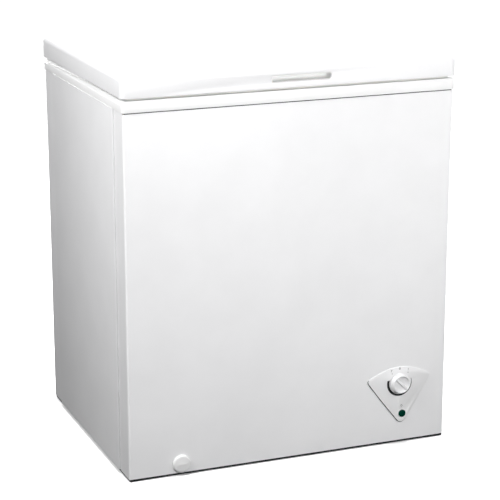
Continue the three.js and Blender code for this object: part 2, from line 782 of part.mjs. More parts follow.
const boreDepth = knobDepth - dish.depth - 1.5;
const shaftFront = knobBack - boreDepth + slip;
piece(
  controls, "thermostat_shaft", barY(shaftRadius, knobX, shaftFront, bodyFront - clearance, knobZ, 12),
  finishes.zincSteel,
);

// The dial: a skirted knob with a dished face and a grip bar across it.
const knobProfile = [
  [0, 0], [knobRadius, 0], [knobRadius, 2.2], [knobFaceRadius + 0.6, 4], [knobFaceRadius, knobDepth - 1.2],
  [knobFaceRadius - 1, knobDepth], [dish.radius, knobDepth],
  [dish.radius - 1.5, knobDepth - dish.depth], [0, knobDepth - dish.depth],
];
const gripBar = new THREE.BoxGeometry(2 * dish.radius + 1, 6, dish.depth);
gripBar.translate(0, 0, knobDepth - dish.depth / 2 - 0.2).rotateZ(-gripAngle);
const knobMade = solid(turned(knobProfile, 24).rotateX(Math.PI / 2))
  .add(solid(gripBar.rotateX(Math.PI / 2)))
  .subtract(barY(shaftRadius + clearance, 0, -boreDepth, reach, 0, 12));
piece(controls, "thermostat_knob", knobMade, finishes.greyPlastic, [knobX, knobBack, knobZ]);

const lampProfile = [
  [0, -18], [lampRadius - 1, -18], [lampRadius - 1, clearance], [lampRadius, clearance],
  [lampRadius, lampProud - 0.8], [lampRadius * 0.7, lampProud], [0, lampProud + 0.4],
];
const lampMade = solid(turned(lampProfile, 16).rotateX(Math.PI / 2));
piece(controls, "indicator_lamp", lampMade, finishes.greenLens, [lampX, plateFront, lampZ]);

// Capillary from the thermostat up to its sensing bulb beside the tub.
const bulbY = -tub.y - linerSheet - coilSpace / 2;
const capillaryRise = housingBox.back + 6;
const lead = 19; // capillary between its last bend and the bulb
const firstBend = capillaryRise + capillaryRadius;
const sensing = barY(capillaryRadius, capillaryX, bodyBack + clearance, firstBend, knobZ, 8)
  .add(barZ(capillaryRadius, capillaryX, capillaryRise, knobZ - 1, capillaryTop + 1, 8))
  .add(barY(capillaryRadius, capillaryX, capillaryRise - 1, bulbY + 1, capillaryTop, 8))
  .add(barX(capillaryRadius, capillaryX - lead - 1, capillaryX + 1, bulbY, capillaryTop, 8))
  .add(barX(bulb.radius, capillaryX - lead - bulb.length, capillaryX - lead, bulbY, capillaryTop, 10));
piece(controls, "thermostat_capillary", sensing, finishes.copper);

// ---- Drain: tub plug, elbow pipe, and a pull-out spout with a turning cap ----

const pipeFront = -panY + panSheet + clearance;
const drainPipe = barY(drainPipeRadius, drainX, pipeFront, tubDrainY, drainAboveFloor)
  .add(tubDrain(drainPipeRadius, drainAboveFloor, tubFloor - linerSheet - clearance))
  .add(barY(drainPipeRadius, drainX, tubDrainY - 1, tubDrainY + drainPipeRadius - 2, drainAboveFloor))
  .subtract(barY(drainBore, drainX, -halfDepth, tubDrainY, drainAboveFloor))
  .subtract(tubDrain(drainBore, drainAboveFloor, tubFloor));
piece(drain, "drain_pipe", drainPipe, finishes.whitePlastic);

const plugProfile = [
  [0, -20], [drainBore - 2, -20], [drainBore - slip, -2], [drainBore - slip, clearance],
  [drainBore + 5, clearance],
  [drainBore + 4, 3], [4, 3], [4, 8], [0, 8],
];
piece(
  drain, "tub_drain_plug", solid(turned(plugProfile, 16)), finishes.rubber,
  [drainX, tubDrainY, tubFloor],
);

const spoutRadius = drainBore - slip;
const capBack = -halfDepth - clearance;
const spoutFront = capBack - drainCapDepth * 0.4;
const spoutMade = barY(spoutRadius, 0, spoutFront, spoutFront + spoutLength, 0)
  .subtract(barY(spoutRadius - spoutWall, 0, spoutFront - reach, spoutFront + spoutLength + reach, 0))
  .subtract(barZ(4, 0, spoutFront + 22, -spoutRadius - reach, 0, 12));
piece(drain, "drain_spout", spoutMade, finishes.whitePlastic, [drainX, 0, drainAboveFloor]);

// The cap's inner sleeve closes the spout's outlet until it is turned round.
const capProfile = [
  [0, drainCapDepth - 1.4], [spoutRadius + clearance, drainCapDepth - 1.4], [spoutRadius + clearance, 0],
  [drainCapRadius - 1, 0], [drainCapRadius, 1], [drainCapRadius, drainCapDepth - 1.2],
  [drainCapRadius - 1.4, drainCapDepth],
  [0, drainCapDepth],
];
const capGrip = new THREE.BoxGeometry(1.6 * drainCapRadius, 5, 3).translate(0, 0, drainCapDepth + 1);
const capMade = solid(turned(capProfile, 20).rotateX(Math.PI / 2)).add(solid(capGrip.rotateX(Math.PI / 2)));
piece(drain, "drain_cap", capMade, finishes.whitePlastic, [drainX, capBack, drainAboveFloor]);

// ---- Lid ----

// A rounded block over the lid's plan, set in from its outside, open-ended downwards from a height.
function lidBlock(inset, bottom) {
  const edge = lidEdge - inset;
  const shape = centred(lidX - lidEdge, lidY - lidEdge, lidCornerRadius - lidEdge);
  const [low, high] = [bottom - edge - reach, overallHeight - inset];
  const settings = {
    depth: high - low - 2 * edge, bevelThickness: edge, bevelSize: edge, bevelSegments: 3, curveSegments: 2,
  };
  const geometry = new THREE.ExtrudeGeometry(shape, settings).translate(0, 0, low + edge);
  return solid(geometry).subtract(block([-2 * lidX, -2 * lidY, low - reach], [2 * lidX, 2 * lidY, bottom]));
}

const handleX = handleOffset;
const handleZ = overallHeight - handleBelowTop;
const handleOutline = (grow) => {
  const [x, z] = [handleLength / 2 + grow, handleHeight / 2 + grow];
  return plate(handleX - x, handleX + x, handleZ - z, handleZ + z, z);
};
const lidShell = lidBlock(0, lidBottom)
  .subtract(lidBlock(lidSkin, lidBottom - reach))
  .subtract(faced(handleOutline(0), -lidY - reach, -lidY + lidEdge, 4));
piece(lid, "lid_outer_shell", lidShell, finishes.whitePaint);

const pocketBack = -lidY + handleDepth;
const handleMade = faced(handleOutline(-clearance), -lidY + clearance, pocketBack, 4)
  .subtract(faced(handleOutline(-clearance - handleWall), -lidY - reach, pocketBack - handleWall, 4));
piece(lid, "handle_insert", handleMade, finishes.whitePlastic);

const plug = { x: tub.x - plugInset, y: tub.y - plugInset };
const plugBottom = lidBottom - plugDepth;
const trayBottom = lidBottom + clearance;
const trayEdge = lidSkin + clearance;
const innerPanel = raised(
  centred(lidX - trayEdge, lidY - trayEdge, lidCornerRadius - trayEdge), trayBottom,
  trayBottom + linerSheet,
)
  .add(raised(centred(plug.x, plug.y, tubCorner), plugBottom, trayBottom + linerSheet))
  .subtract(raised(
    centred(plug.x - linerSheet, plug.y - linerSheet, tubCorner - linerSheet),
    plugBottom + linerSheet, lidBottom + reach,
  ));
piece(lid, "lid_inner_panel", innerPanel, finishes.whitePlastic);

const foamInset = linerSheet + clearance;
const lidFoam = lidBlock(lidSkin + clearance, trayBottom + linerSheet + clearance)
  .add(raised(
    centred(plug.x - foamInset, plug.y - foamInset, tubCorner - foamInset),
    plugBottom + foamInset, lidBottom + reach,
  ))
  .subtract(faced(handleOutline(clearance), -lidY - reach, pocketBack + clearance, 4));
piece(lid, "lid_foam", lidFoam, finishes.foam);

const gasket = { x: lidX - gasketInset, y: lidY - gasketInset, radius: 8 };
const gasketOutline = centred(gasket.x, gasket.y, gasket.radius);
gasketOutline.holes.push(centred(gasket.x - gasketWidth, gasket.y - gasketWidth, gasket.radius));
piece(lid, "lid_gasket", raised(gasketOutline, collarTop + clearance, lidBottom), finishes.gasketVinyl);

// ---- Hinges, each in its own group with the pivot at its origin ----

const panelFace = -pivotBehind; // back panel's outside from the pivot
const lidBack = lidY - pivot.y;

function hingeBracket() {
  const half = bracketWidth / 2;
  const face = panelFace + clearance;
  const ear = new THREE.Shape();
  ear.moveTo(face, -bracketLength);
  ear.lineTo(face, -bracketLength * 0.3);
  ear.lineTo(-pivotBehind + collarProud + 1, -bracketLength * 0.27);
  ear.lineTo(-earRadius, -earRadius);
  ear.absarc(0, 0, earRadius, Math.PI, 0, true);
  ear.lineTo(earRadius * 0.6, -bracketLength * 0.6);
  ear.lineTo(face + 2 * hingeSheet, -bracketLength);
  ear.closePath();
  let made = block([-half, face, -bracketLength], [half, face + hingeSheet, -bracketLength * 0.3])
    .add(sided(ear, -half, -half + hingeSheet, 5))
    .add(sided(ear, half - hingeSheet, half, 5))
    .subtract(barX(pinRadius + clearance, -half - reach, half + reach, 0, 0));
  for (const drop of bracketScrews) {
    made = made.subtract(barY(screwRadius + clearance, 0, face - reach, face + reach, -drop, 10));
  }
  return made;
}

function hingeArm() {
  const half = bracketWidth / 2 - hingeSheet - slip;
  const face = lidBack + clearance;
  const [low, high] = [pivotBelowLid + 6, pivotBelowLid + 30];
  const radius = earRadius - 1;
  const ear = new THREE.Shape();
  ear.moveTo(face, low);
  ear.lineTo(face, high);
  ear.lineTo(face + 2 * hingeSheet, high);
  ear.absarc(0, 0, radius, Math.PI / 4, -0.75 * Math.PI, true);
  ear.lineTo(-radius, 0);
  ear.closePath();
  return block([-half, face, low], [half, face + hingeSheet, high])
    .add(sided(ear, -half, -half + hingeSheet, 5))
    .add(sided(ear, half - hingeSheet, half, 5))
    .subtract(barX(pinRadius + clearance, -half - reach, half + reach, 0, 0));
}

function hingePin() {
  const half = bracketWidth / 2 + clearance;
  return barX(pinRadius, -half - 1, half + 1, 0, 0)
    .add(barX(pinRadius + 1.6, -half - 2, -half, 0, 0))
    .add(barX(pinRadius + 1.6, half, half + 2, 0, 0));
}

function hingeSpring() {
  const half = bracketWidth / 2 - 2 * hingeSheet - 2 * slip - springWire;
  const steps = springTurns * 9;
  const points = [];
  for (let i = 0; i <= steps; i++) {
    const angle = (2 * Math.PI * springTurns * i) / steps;
    const x = -half + (2 * half * i) / steps;
    points.push(new THREE.Vector3(x, springRadius * Math.cos(angle), springRadius * Math.sin(angle)));
  }
  const tail = points.at(-1).clone();
  points.push(tail.add(new THREE.Vector3(0, -2, -14)));
  return tube(points, springWire, 4);
}

hingeStations.forEach((x, i) => {
  const hand = ["left", "right"][i];
  const hinge = new THREE.Group();
  hinge.position.set(x, pivot.y, pivot.z);
  freezer.add(hinge);
  piece(hinge, `hinge_bracket_${hand}`, hingeBracket(), finishes.zincSteel);
  piece(hinge, `hinge_arm_${hand}`, hingeArm(), finishes.zincSteel);
  piece(hinge, `hinge_pin_${hand}`, hingePin(), finishes.zincSteel);
  piece(hinge, `hinge_spring_${hand}`, hingeSpring(), finishes.blackSteel);
  bracketScrews.forEach((drop, n) => {
    const y = panelFace + hingeSheet + 2 * clearance;
    const place = [0, y, -drop];
    piece(
      hinge, `hinge_screw_${hand}_${n + 1}`, screw(y - panelFace + shankRoom), finishes.zincSteel,
      place,
    );
  });
});

// ---- Basket: an open box of the wire basket's outer shape, hung on the top frame's ledge ----

const basketX1 = tub.x - basketFromEnd;
const basketX0 = basketX1 - basketWidth;
const basketY = tub.y - basketFromSides;
const basketTop = plugBottom - basketBelowPlug;
const basketFloor = basketTop - basketHeight;
const hookZ = collarTop - ledgeDepth + clearance;
const hookY = tub.y + ledgeWidth - 3;
let basket = raised(plate(basketX0, basketX1, -basketY, basketY, 12), basketFloor, basketTop, 3)
  .subtract(raised(
    plate(basketX0 + basketWall, basketX1 - basketWall, -basketY + basketWall, basketY - basketWall, 10),
    basketFloor + basketWall, basketTop + reach, 3,
  ));
for (const side of [-1, 1]) {
  const [near, far] = [side * (basketY - basketWall), side * hookY];
  const riser = side * basketY;
  const inset = 16;
  basket = basket
    .add(block(
      [basketX0 + inset, Math.min(near, riser), basketTop - reach],
      [basketX1 - inset, Math.max(near, riser), hookZ + hookBar],
    ))
    .add(
      block(
        [basketX0 + inset, Math.min(near, far), hookZ],
        [basketX1 - inset, Math.max(near, far), hookZ + hookBar],
      ),
    );
}
piece(freezer, "wire_basket", basket, finishes.whiteWire);

export default freezer;
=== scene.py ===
"""Compact chest freezer: the visual model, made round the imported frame.

Metres, +Z up, the front towards -Y. Every piece takes its place from the frame's own boxes.
"""
import logging
import math
from collections.abc import Callable, Iterable
from dataclasses import dataclass
from enum import Enum

import bmesh
import bpy
from mathutils import Matrix, Vector


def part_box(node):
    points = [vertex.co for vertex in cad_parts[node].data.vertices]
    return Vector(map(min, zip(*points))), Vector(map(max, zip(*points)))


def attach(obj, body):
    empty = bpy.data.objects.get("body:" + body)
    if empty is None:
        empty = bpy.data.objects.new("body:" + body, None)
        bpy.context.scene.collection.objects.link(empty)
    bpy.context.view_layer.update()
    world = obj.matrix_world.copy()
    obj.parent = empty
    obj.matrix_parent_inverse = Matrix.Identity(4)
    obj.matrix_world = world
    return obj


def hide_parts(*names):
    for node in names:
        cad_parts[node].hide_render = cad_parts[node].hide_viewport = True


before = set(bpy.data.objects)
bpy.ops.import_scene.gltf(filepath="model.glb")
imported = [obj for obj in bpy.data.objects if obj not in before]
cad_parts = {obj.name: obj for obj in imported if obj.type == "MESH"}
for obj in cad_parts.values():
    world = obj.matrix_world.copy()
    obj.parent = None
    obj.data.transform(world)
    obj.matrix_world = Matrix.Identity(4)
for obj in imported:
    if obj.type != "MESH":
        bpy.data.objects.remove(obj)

LOG = logging.getLogger("freezer")
MM = 0.001
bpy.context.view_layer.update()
GAP = 0.3 * MM  # between pieces that touch
TUB_FLANGE = 12 * MM  # the liner's rim, all round


class Facing(Enum):
    """Which way a turned piece's axis points, as the rotation that takes +Z there."""

    UP = (0.0, 0.0, 0.0)
    FRONT = (math.pi / 2, 0.0, 0.0)
    REAR = (-math.pi / 2, 0.0, 0.0)


class Grain(Enum):
    """The relief of a surface, by how it was made."""

    ORANGE_PEEL = "sprayed and baked paint"
    SPARK = "moulded in a spark-eroded tool"
    STUCCO = "rolled with a stucco pattern"
    ROLLED = "rolled or drawn metal"
    CELLS = "foamed cells"


# ---------------------------------------------------------------- materials


def linear(code: str) -> tuple[float, float, float, float]:
    """Turns an sRGB hex colour to linear.

    Args:
        code: six hex digits.

    Returns:
        Red, green, blue and alpha.
    """
    parts = [int(code[i:i + 2], 16) / 255 for i in (0, 2, 4)]
    red, green, blue = (c / 12.92 if c <= 0.04045 else ((c + 0.055) / 1.055) ** 2.4 for c in parts)
    return red, green, blue, 1.0


def add_node(
    tree: bpy.types.NodeTree, kind: str, settings: dict | None = None, links: dict | None = None
) -> bpy.types.Node:
    """Adds one shader node.

    Args:
        tree: the material's node tree.
        kind: the node's type name without its ShaderNode prefix.
        settings: values by input name, or by attribute name where it is no input.
        links: output sockets by input name or index.

    Returns:
        The new node.
    """
    node = tree.nodes.new("ShaderNode" + kind)
    for key, value in (settings or {}).items():
        if key in node.inputs:
            node.inputs[key].default_value = value
        else:
            setattr(node, key, value)
    for key, socket in (links or {}).items():
        tree.links.new(socket, node.inputs[key])
    return node


def empty_material(name: str) -> tuple[bpy.types.Material, bpy.types.NodeTree, bpy.types.NodeSocket]:
    """Makes a material with no nodes but the coordinates.

    Args:
        name: the material's name.

    Returns:
        The material, its node tree and the piece's own coordinates.
    """
    made = bpy.data.materials.new(name)
    made.use_nodes = True
    tree = made.node_tree
    tree.nodes.clear()
    return made, tree, add_node(tree, "TexCoord").outputs["Object"]


@dataclass(frozen=True)
class Finish:
    """One surface: what it is made of and how its face was formed.

    The colour drifts a little between two tones, the roughness varies with handling, and the
    relief is a bump of a real size.
    """

    name: str
    tone: str
    shade: str
    roughness: float
    grain: Grain
    grain_size: float
    relief: float
    metallic: float = 0.0
    specular: float = 0.5
    coat: float = 0.0
    drift: float = 90 * MM
    worn: float = 0.06
    subsurface: float = 0.0

    def build(self) -> bpy.types.Material:
        """Makes the material, or gives the one already made.

        Returns:
            The material of this name.
        """
        made = bpy.data.materials.get(self.name)
        if made:
            return made
        made, tree, place = empty_material(self.name)
        cloud = add_node(
            tree, "TexNoise", {"Scale": 1 / self.drift, "Detail": 3.0, "Roughness": 0.55}, {"Vector": place}
        )
        tint = add_node(tree, "ValToRGB", links={"Fac": cloud.outputs["Fac"]})
        tint.color_ramp.elements[0].position, tint.color_ramp.elements[1].position = 0.35, 0.7
        tint.color_ramp.elements[0].color = linear(self.shade)
        tint.color_ramp.elements[1].color = linear(self.tone)
        rub = add_node(
            tree, "MapRange",
            {"To Min": self.roughness - self.worn / 2, "To Max": self.roughness + self.worn / 2},
            {"Value": cloud.outputs["Fac"]},
        )
        height = self.height(tree, place)
        bump = add_node(tree, "Bump", {"Strength": 1.0, "Distance": self.relief}, {"Height": height})
        shader = add_node(
            tree, "BsdfPrincipled",
            {
                "Metallic": self.metallic, "Coat Weight": self.coat, "Coat Roughness": 0.08,
                "Specular IOR Level": self.specular, "Subsurface Weight": self.subsurface,
                "Subsurface Scale": 2 * MM,
            },
            {
                "Base Color": tint.outputs["Color"], "Roughness": rub.outputs["Result"],
                "Normal": bump.outputs["Normal"],
            },
        )
        add_node(tree, "OutputMaterial", links={"Surface": shader.outputs["BSDF"]})
        return made

    def height(self, tree: bpy.types.NodeTree, place: bpy.types.NodeSocket) -> bpy.types.NodeSocket:
        """Adds the nodes of the relief.

        Args:
            tree: the material's node tree.
            place: the coordinates to read.

        Returns:
            The height's socket.
        """
        scale = 1 / self.grain_size
        if self.grain is Grain.CELLS:
            cells = add_node(tree, "TexVoronoi", {"Scale": scale}, {"Vector": place})
            return cells.outputs["Distance"]
        if self.grain is Grain.STUCCO:
            settings = {"feature": "SMOOTH_F1", "Scale": scale, "Smoothness": 0.6}
            blot = add_node(tree, "TexVoronoi", settings, {"Vector": place})
            ramp = add_node(
                tree, "MapRange", {"From Min": 0.1, "From Max": 0.5}, {"Value": blot.outputs["Distance"]}
            )
            return ramp.outputs["Result"]
        if self.grain is Grain.ROLLED:
            drawn = add_node(tree, "Mapping", {"Scale": (1.0, 1.0, 0.08)}, {"Vector": place})
            place = drawn.outputs["Vector"]
        detail = 2.0 if self.grain is Grain.ORANGE_PEEL else 4.0
        noise = add_node(tree, "TexNoise", {"Scale": scale, "Detail": detail}, {"Vector": place})
        return noise.outputs["Fac"]


@dataclass(frozen=True)
class Lens:
    """A lens moulded in polycarbonate with a polished face, tinted too deeply to see through."""

    name: str
    tone: str
    roughness: float = 0.06

    def build(self) -> bpy.types.Material:
        """Makes the material, or gives the one already made.

        Returns:
            The material of this name.
        """
        made = bpy.data.materials.get(self.name)
        if made:
            return made
        made, tree, place = empty_material(self.name)
        prism = add_node(tree, "TexVoronoi", {"Scale": 1 / (1.6 * MM)}, {"Vector": place})
        bump = add_node(
            tree, "Bump", {"Strength": 0.5, "Distance": 0.2 * MM}, {"Height": prism.outputs["Distance"]}
        )
        shader = add_node(
            tree, "BsdfPrincipled",
            {
                "Base Color": linear(self.tone), "Roughness": self.roughness, "IOR": 1.58,
                "Specular IOR Level": 0.3,
            },
            {"Normal": bump.outputs["Normal"]},
        )
        add_node(tree, "OutputMaterial", links={"Surface": shader.outputs["BSDF"]})
        return made


# Polyester powder paint, baked on steel: white, satin, with a fine orange peel of about 2 mm.
ENAMEL = Finish(
    "white_powder_enamel", "f3f3f4", "f0f0f1", 0.36, Grain.ORANGE_PEEL, 2.2 * MM, 0.012 * MM,
    coat=0.1,
)
# Polystyrene moulding, white and a little warmer and softer than the paint, with a faint spark grain.
WHITE_ABS = Finish("white_moulded_polystyrene", "f2f2f2", "eeeeee", 0.42, Grain.SPARK, 0.5 * MM, 0.01 * MM)
# The same plastic where light goes in: the thin pocket and the gasket's lips glow slightly.
POCKET = Finish(
    "white_pocket_polystyrene", "f0f0ef", "e8e8e7", 0.4, Grain.SPARK, 0.5 * MM, 0.01 * MM,
    subsurface=0.05,
)
# ABS in a very light grey, spark-eroded tool: a fine even matt grain under a fingertip.
GREY_ABS = Finish("light_grey_moulded_abs", "f0f0f0", "ececed", 0.42, Grain.SPARK, 0.45 * MM, 0.02 * MM)
# The dial's polished ABS: nearly the plate's tone, and glossier.
DIAL_ABS = Finish("pale_dial_abs", "efeff0", "e9e9ea", 0.3, Grain.SPARK, 0.4 * MM, 0.008 * MM, coat=0.2)
# Pad-printed ink: nearly black, thin, with a soft edge of gloss.
INK = Finish("black_pad_print", "1c1d1f", "141516", 0.5, Grain.SPARK, 0.3 * MM, 0.004 * MM)
# Black polypropylene with a coarse grain, on the feet, the louvres and the gland.
BLACK_PP = Finish("black_grained_polypropylene", "242527", "1a1b1c", 0.6, Grain.SPARK, 0.7 * MM, 0.05 * MM)
# Stucco-embossed, prepainted aluminium: the tub's cold white wall with its rolled pattern of about 5 mm.
STUCCO = Finish(
    "stucco_embossed_aluminium", "eceded", "e3e5e6", 0.34, Grain.STUCCO, 5.5 * MM, 0.12 * MM,
    metallic=0.12,
)
# Soft PVC of the gasket: off-white, slightly sticky-looking, with a fine bloom.
VINYL = Finish("soft_pvc_gasket", "dcdcd8", "cfcfca", 0.62, Grain.SPARK, 0.8 * MM, 0.03 * MM, subsurface=0.08)
# Rigid polyurethane foam: straw yellow, cut faces with open cells.
FOAM = Finish("rigid_polyurethane_foam", "e0cf98", "cdb87a", 0.9, Grain.CELLS, 1.8 * MM, 0.4 * MM, worn=0.1)
# Bright zinc plate with a pale blue passivation, on steel strip.
ZINC = Finish(
    "zinc_plated_steel", "c9ccd0", "adb2b8", 0.34, Grain.ROLLED, 0.9 * MM, 0.012 * MM,
    metallic=1.0, drift=25 * MM, worn=0.16,
)
# Galvanised sheet of the base pan, duller than the plated strip.
GALVANISED = Finish(
    "galvanised_sheet", "b4b8bb", "959a9e", 0.46, Grain.CELLS, 9 * MM, 0.02 * MM,
    metallic=1.0, drift=30 * MM, worn=0.2,
)
# Black dipping paint on the compressor's deep-drawn shell.
BLACK_PAINT = Finish(
    "black_dipped_paint", "1d1e20", "121314", 0.38, Grain.ORANGE_PEEL, 2.5 * MM, 0.05 * MM,
    coat=0.15,
)
# Drawn copper tube, dulled to brown in patches.
COPPER = Finish(
    "drawn_copper", "c87f56", "8f5236", 0.32, Grain.ROLLED, 1.2 * MM, 0.02 * MM,
    metallic=1.0, drift=14 * MM, worn=0.2,
)
# Drawn aluminium tube of the evaporator.
ALUMINIUM = Finish(
    "drawn_aluminium", "cdd0d2", "b3b7ba", 0.35, Grain.ROLLED, 1.0 * MM, 0.012 * MM,
    metallic=1.0, drift=20 * MM,
)
# Grey-white natural rubber of the plug, and black of the mounts.
RUBBER = Finish("pale_grey_rubber", "c6c6c2", "b6b6b2", 0.7, Grain.SPARK, 0.6 * MM, 0.04 * MM)
BLACK_RUBBER = Finish("black_nitrile_rubber", "2b2c2d", "1f2021", 0.75, Grain.SPARK, 0.6 * MM, 0.04 * MM)
# Spring steel wire, oiled.
SPRING = Finish(
    "oiled_spring_steel", "3a3b3d", "27282a", 0.3, Grain.ROLLED, 0.5 * MM, 0.01 * MM,
    metallic=1.0, drift=6 * MM,
)
# Polyethylene-coated wire of the basket: white, glossy, thick enough to round every weld.
COATED_WIRE = Finish(
    "polyethylene_coated_wire", "f1f1ef", "e8e8e6", 0.3, Grain.ORANGE_PEEL, 3 * MM, 0.03 * MM,
    coat=0.2,
)
LAMP_GREEN = Lens("green_polycarbonate_lens", "01362a")


# ---------------------------------------------------------------- modelling


@dataclass(frozen=True)
class Box:
    """An upright box between two corners."""

    lo: Vector
    hi: Vector

    @classmethod
    def of(cls, node: str) -> "Box":
        """The box of a frame node."""
        return cls(*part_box(node))

    @classmethod
    def span(cls, x: tuple[float, float], y: tuple[float, float], z: tuple[float, float]) -> "Box":
        """The box between two places along each axis."""
        return cls(Vector((x[0], y[0], z[0])), Vector((x[1], y[1], z[1])))

    @property
    def mid(self) -> Vector:
        """The middle."""
        return (self.lo + self.hi) / 2

    @property
    def size(self) -> Vector:
        """The three side lengths."""
        return self.hi - self.lo

    def grown(self, x: float, y: float, z: float) -> "Box":
        """The box with each pair of faces moved out by x, y or z."""
        by = Vector((x, y, z))
        return Box(self.lo - by, self.hi + by)

    def at(self, **sides: float) -> "Box":
        """The box with some sides put elsewhere.

        Args:
            sides: new places by side: x0, x1, y0, y1, z0 or z1.

        Returns:
            The changed box.
        """
        lo, hi = self.lo.copy(), self.hi.copy()
        for side, value in sides.items():
            (lo if side[1] == "0" else hi)["xyz".index(side[0])] = value
        return Box(lo, hi)


class Piece:
    """A mesh on the bench, and the operators that shape it."""

    def __init__(self, obj: bpy.types.Object) -> None:
        """Takes an object whose place is already in its mesh."""
        self.obj = obj

    @staticmethod
    def clear() -> None:
        """Leaves edit mode and selects nothing."""
        if bpy.context.object and bpy.context.object.mode != "OBJECT":
            bpy.ops.object.mode_set(mode="OBJECT")
        bpy.ops.object.select_all(action="DESELECT")

    @classmethod
    def taken(cls, name: str) -> "Piece":
        """Takes the object just added, puts its place in its mesh and names it.

        Args:
            name: the piece's name.

        Returns:
            The piece.
        """
        obj = bpy.context.object
        obj.name = obj.data.name = name
        bpy.ops.object.transform_apply(location=True, rotation=True, scale=True)
        return cls(obj)

    @classmethod
    def block(cls, name: str, box: Box) -> "Piece":
        """Adds a block.

        Args:
            name: the piece's name.
            box: its outside.

        Returns:
            The block.
        """
        cls.clear()
        bpy.ops.mesh.primitive_cube_add(size=1, location=box.mid, scale=box.size)
        return cls.taken(name)

    @classmethod
    def bar(
        cls, name: str, radius: float, start: Iterable[float], end: Iterable[float], sides: int = 24
    ) -> "Piece":
        """Adds a round bar between two points.

        Args:
            name: the piece's name.
            radius: the bar's radius.
            start: one end's middle.
            end: the other end's middle.
            sides: how many sides the section has.

        Returns:
            The bar.
        """
        start, end = Vector(start), Vector(end)
        along = end - start
        cls.clear()
        bpy.ops.mesh.primitive_cylinder_add(
            vertices=sides, radius=radius, depth=along.length, location=(start + end) / 2,
            rotation=along.to_track_quat("Z", "Y").to_euler(),
        )
        return cls.taken(name)

    @classmethod
    def turned(
        cls, name: str, stations: list[tuple[float, float]], at: Iterable[float],
        facing: Facing = Facing.UP, sides: int = 48,
    ) -> "Piece":
        """Adds a disc and draws it out into a turned shape, station by station.

        Args:
            name: the piece's name.
            stations: radius and height of each, in order along the profile.
            at: where the axis's zero is.
            facing: which way the axis points.
            sides: how many sides it has.

        Returns:
            The turned piece.
        """
        cls.clear()
        (radius, height), *rest = stations
        bpy.ops.mesh.primitive_circle_add(
            vertices=sides, radius=radius, fill_type="NGON", location=(0, 0, height)
        )
        obj = bpy.context.object
        bpy.ops.object.transform_apply(location=True)
        bpy.ops.object.mode_set(mode="EDIT")
        bpy.ops.mesh.select_all(action="SELECT")
        for next_radius, next_height in rest:
            bpy.ops.mesh.extrude_region_move(TRANSFORM_OT_translate={"value": (0, 0, next_height - height)})
            scale = next_radius / radius
            bpy.ops.transform.resize(value=(scale, scale, 1), center_override=(0, 0, next_height))
            radius, height = next_radius, next_height
        bpy.ops.mesh.select_all(action="SELECT")
        bpy.ops.mesh.remove_doubles(threshold=1e-7)
        bpy.ops.mesh.normals_make_consistent(inside=False)
        bpy.ops.object.mode_set(mode="OBJECT")
        obj.rotation_euler = facing.value
        obj.location = at
        return cls.taken(name)

    @classmethod
    def copied(cls, node: str, name: str) -> "Piece":
        """Copies a frame node's mesh, welded, with its flat faces whole again.

        Args:
            node: the frame node.
            name: the piece's name.

        Returns:
            The copy.
        """
        cls.clear()
        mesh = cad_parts[node].data.copy()
        mesh.materials.clear()
        obj = bpy.data.objects.new(name, mesh)
        bpy.context.scene.collection.objects.link(obj)
        piece = cls(obj)
        piece.edit()
        bpy.ops.mesh.select_all(action="SELECT")
        bpy.ops.mesh.remove_doubles(threshold=1e-6)
        bpy.ops.mesh.dissolve_limited(angle_limit=math.radians(1.0))
        piece.rest()
        return piece

    @classmethod
    def swept(
        cls, name: str, points: list[Vector], radius: float, sides: int = 4, closed: bool = False
    ) -> "Piece":
        """Bends a wire along points: a curve with a round bevel, made a mesh.

        Args:
            name: the piece's name.
            points: the wire's centre line.
            radius: the wire's radius.
            sides: the bevel's resolution; the section has 4 + 2 * sides corners.
            closed: whether the wire joins its own start.

        Returns:
            The wire.
        """
        cls.clear()
        curve = bpy.data.curves.new(name, "CURVE")
        curve.dimensions, curve.bevel_depth, curve.bevel_resolution = "3D", radius, sides
        curve.use_fill_caps = not closed
        line = curve.splines.new("POLY")
        line.points.add(len(points) - 1)
        for point, place in zip(line.points, points):
            point.co = (*place, 1)
        line.use_cyclic_u = closed
        obj = bpy.data.objects.new(name, curve)
        bpy.context.scene.collection.objects.link(obj)
        obj.select_set(True)
        bpy.context.view_layer.objects.active = obj
        bpy.ops.object.convert(target="MESH")
        return cls(bpy.context.object)

    def active(self) -> None:
        """Makes this piece the only selected one."""
        self.clear()
        self.obj.select_set(True)
        bpy.context.view_layer.objects.active = self.obj

    def edit(self) -> None:
        """Goes into edit mode on this piece with nothing selected."""
        self.active()
        bpy.ops.object.mode_set(mode="EDIT")
        bpy.ops.mesh.select_all(action="DESELECT")

    @staticmethod
    def rest() -> None:
        """Goes back to object mode."""
        bpy.ops.object.mode_set(mode="OBJECT")

    def pick_edges(self, test: Callable[[Vector, Vector], bool]) -> None:
        """Selects edges in edit mode.

        Args:
            test: given an edge's middle and its direction, says whether it is picked.
        """
        bpy.ops.mesh.select_mode(type="EDGE")
        mesh = bmesh.from_edit_mesh(self.obj.data)
        for edge in mesh.edges:
            a, b = (v.co for v in edge.verts)
            edge.select_set(bool(test((a + b) / 2, (b - a).normalized())))
        bmesh.update_edit_mesh(self.obj.data)

    def pick_faces(self, test: Callable[[Vector, Vector], bool]) -> None:
        """Selects faces in edit mode.

        Args:
            test: given a face's middle and its normal, says whether it is picked.
        """
        bpy.ops.mesh.select_mode(type="FACE")
        mesh = bmesh.from_edit_mesh(self.obj.data)
        for face in mesh.faces:
            face.select_set(bool(test(face.calc_center_median(), face.normal)))
        bmesh.update_edit_mesh(self.obj.data)

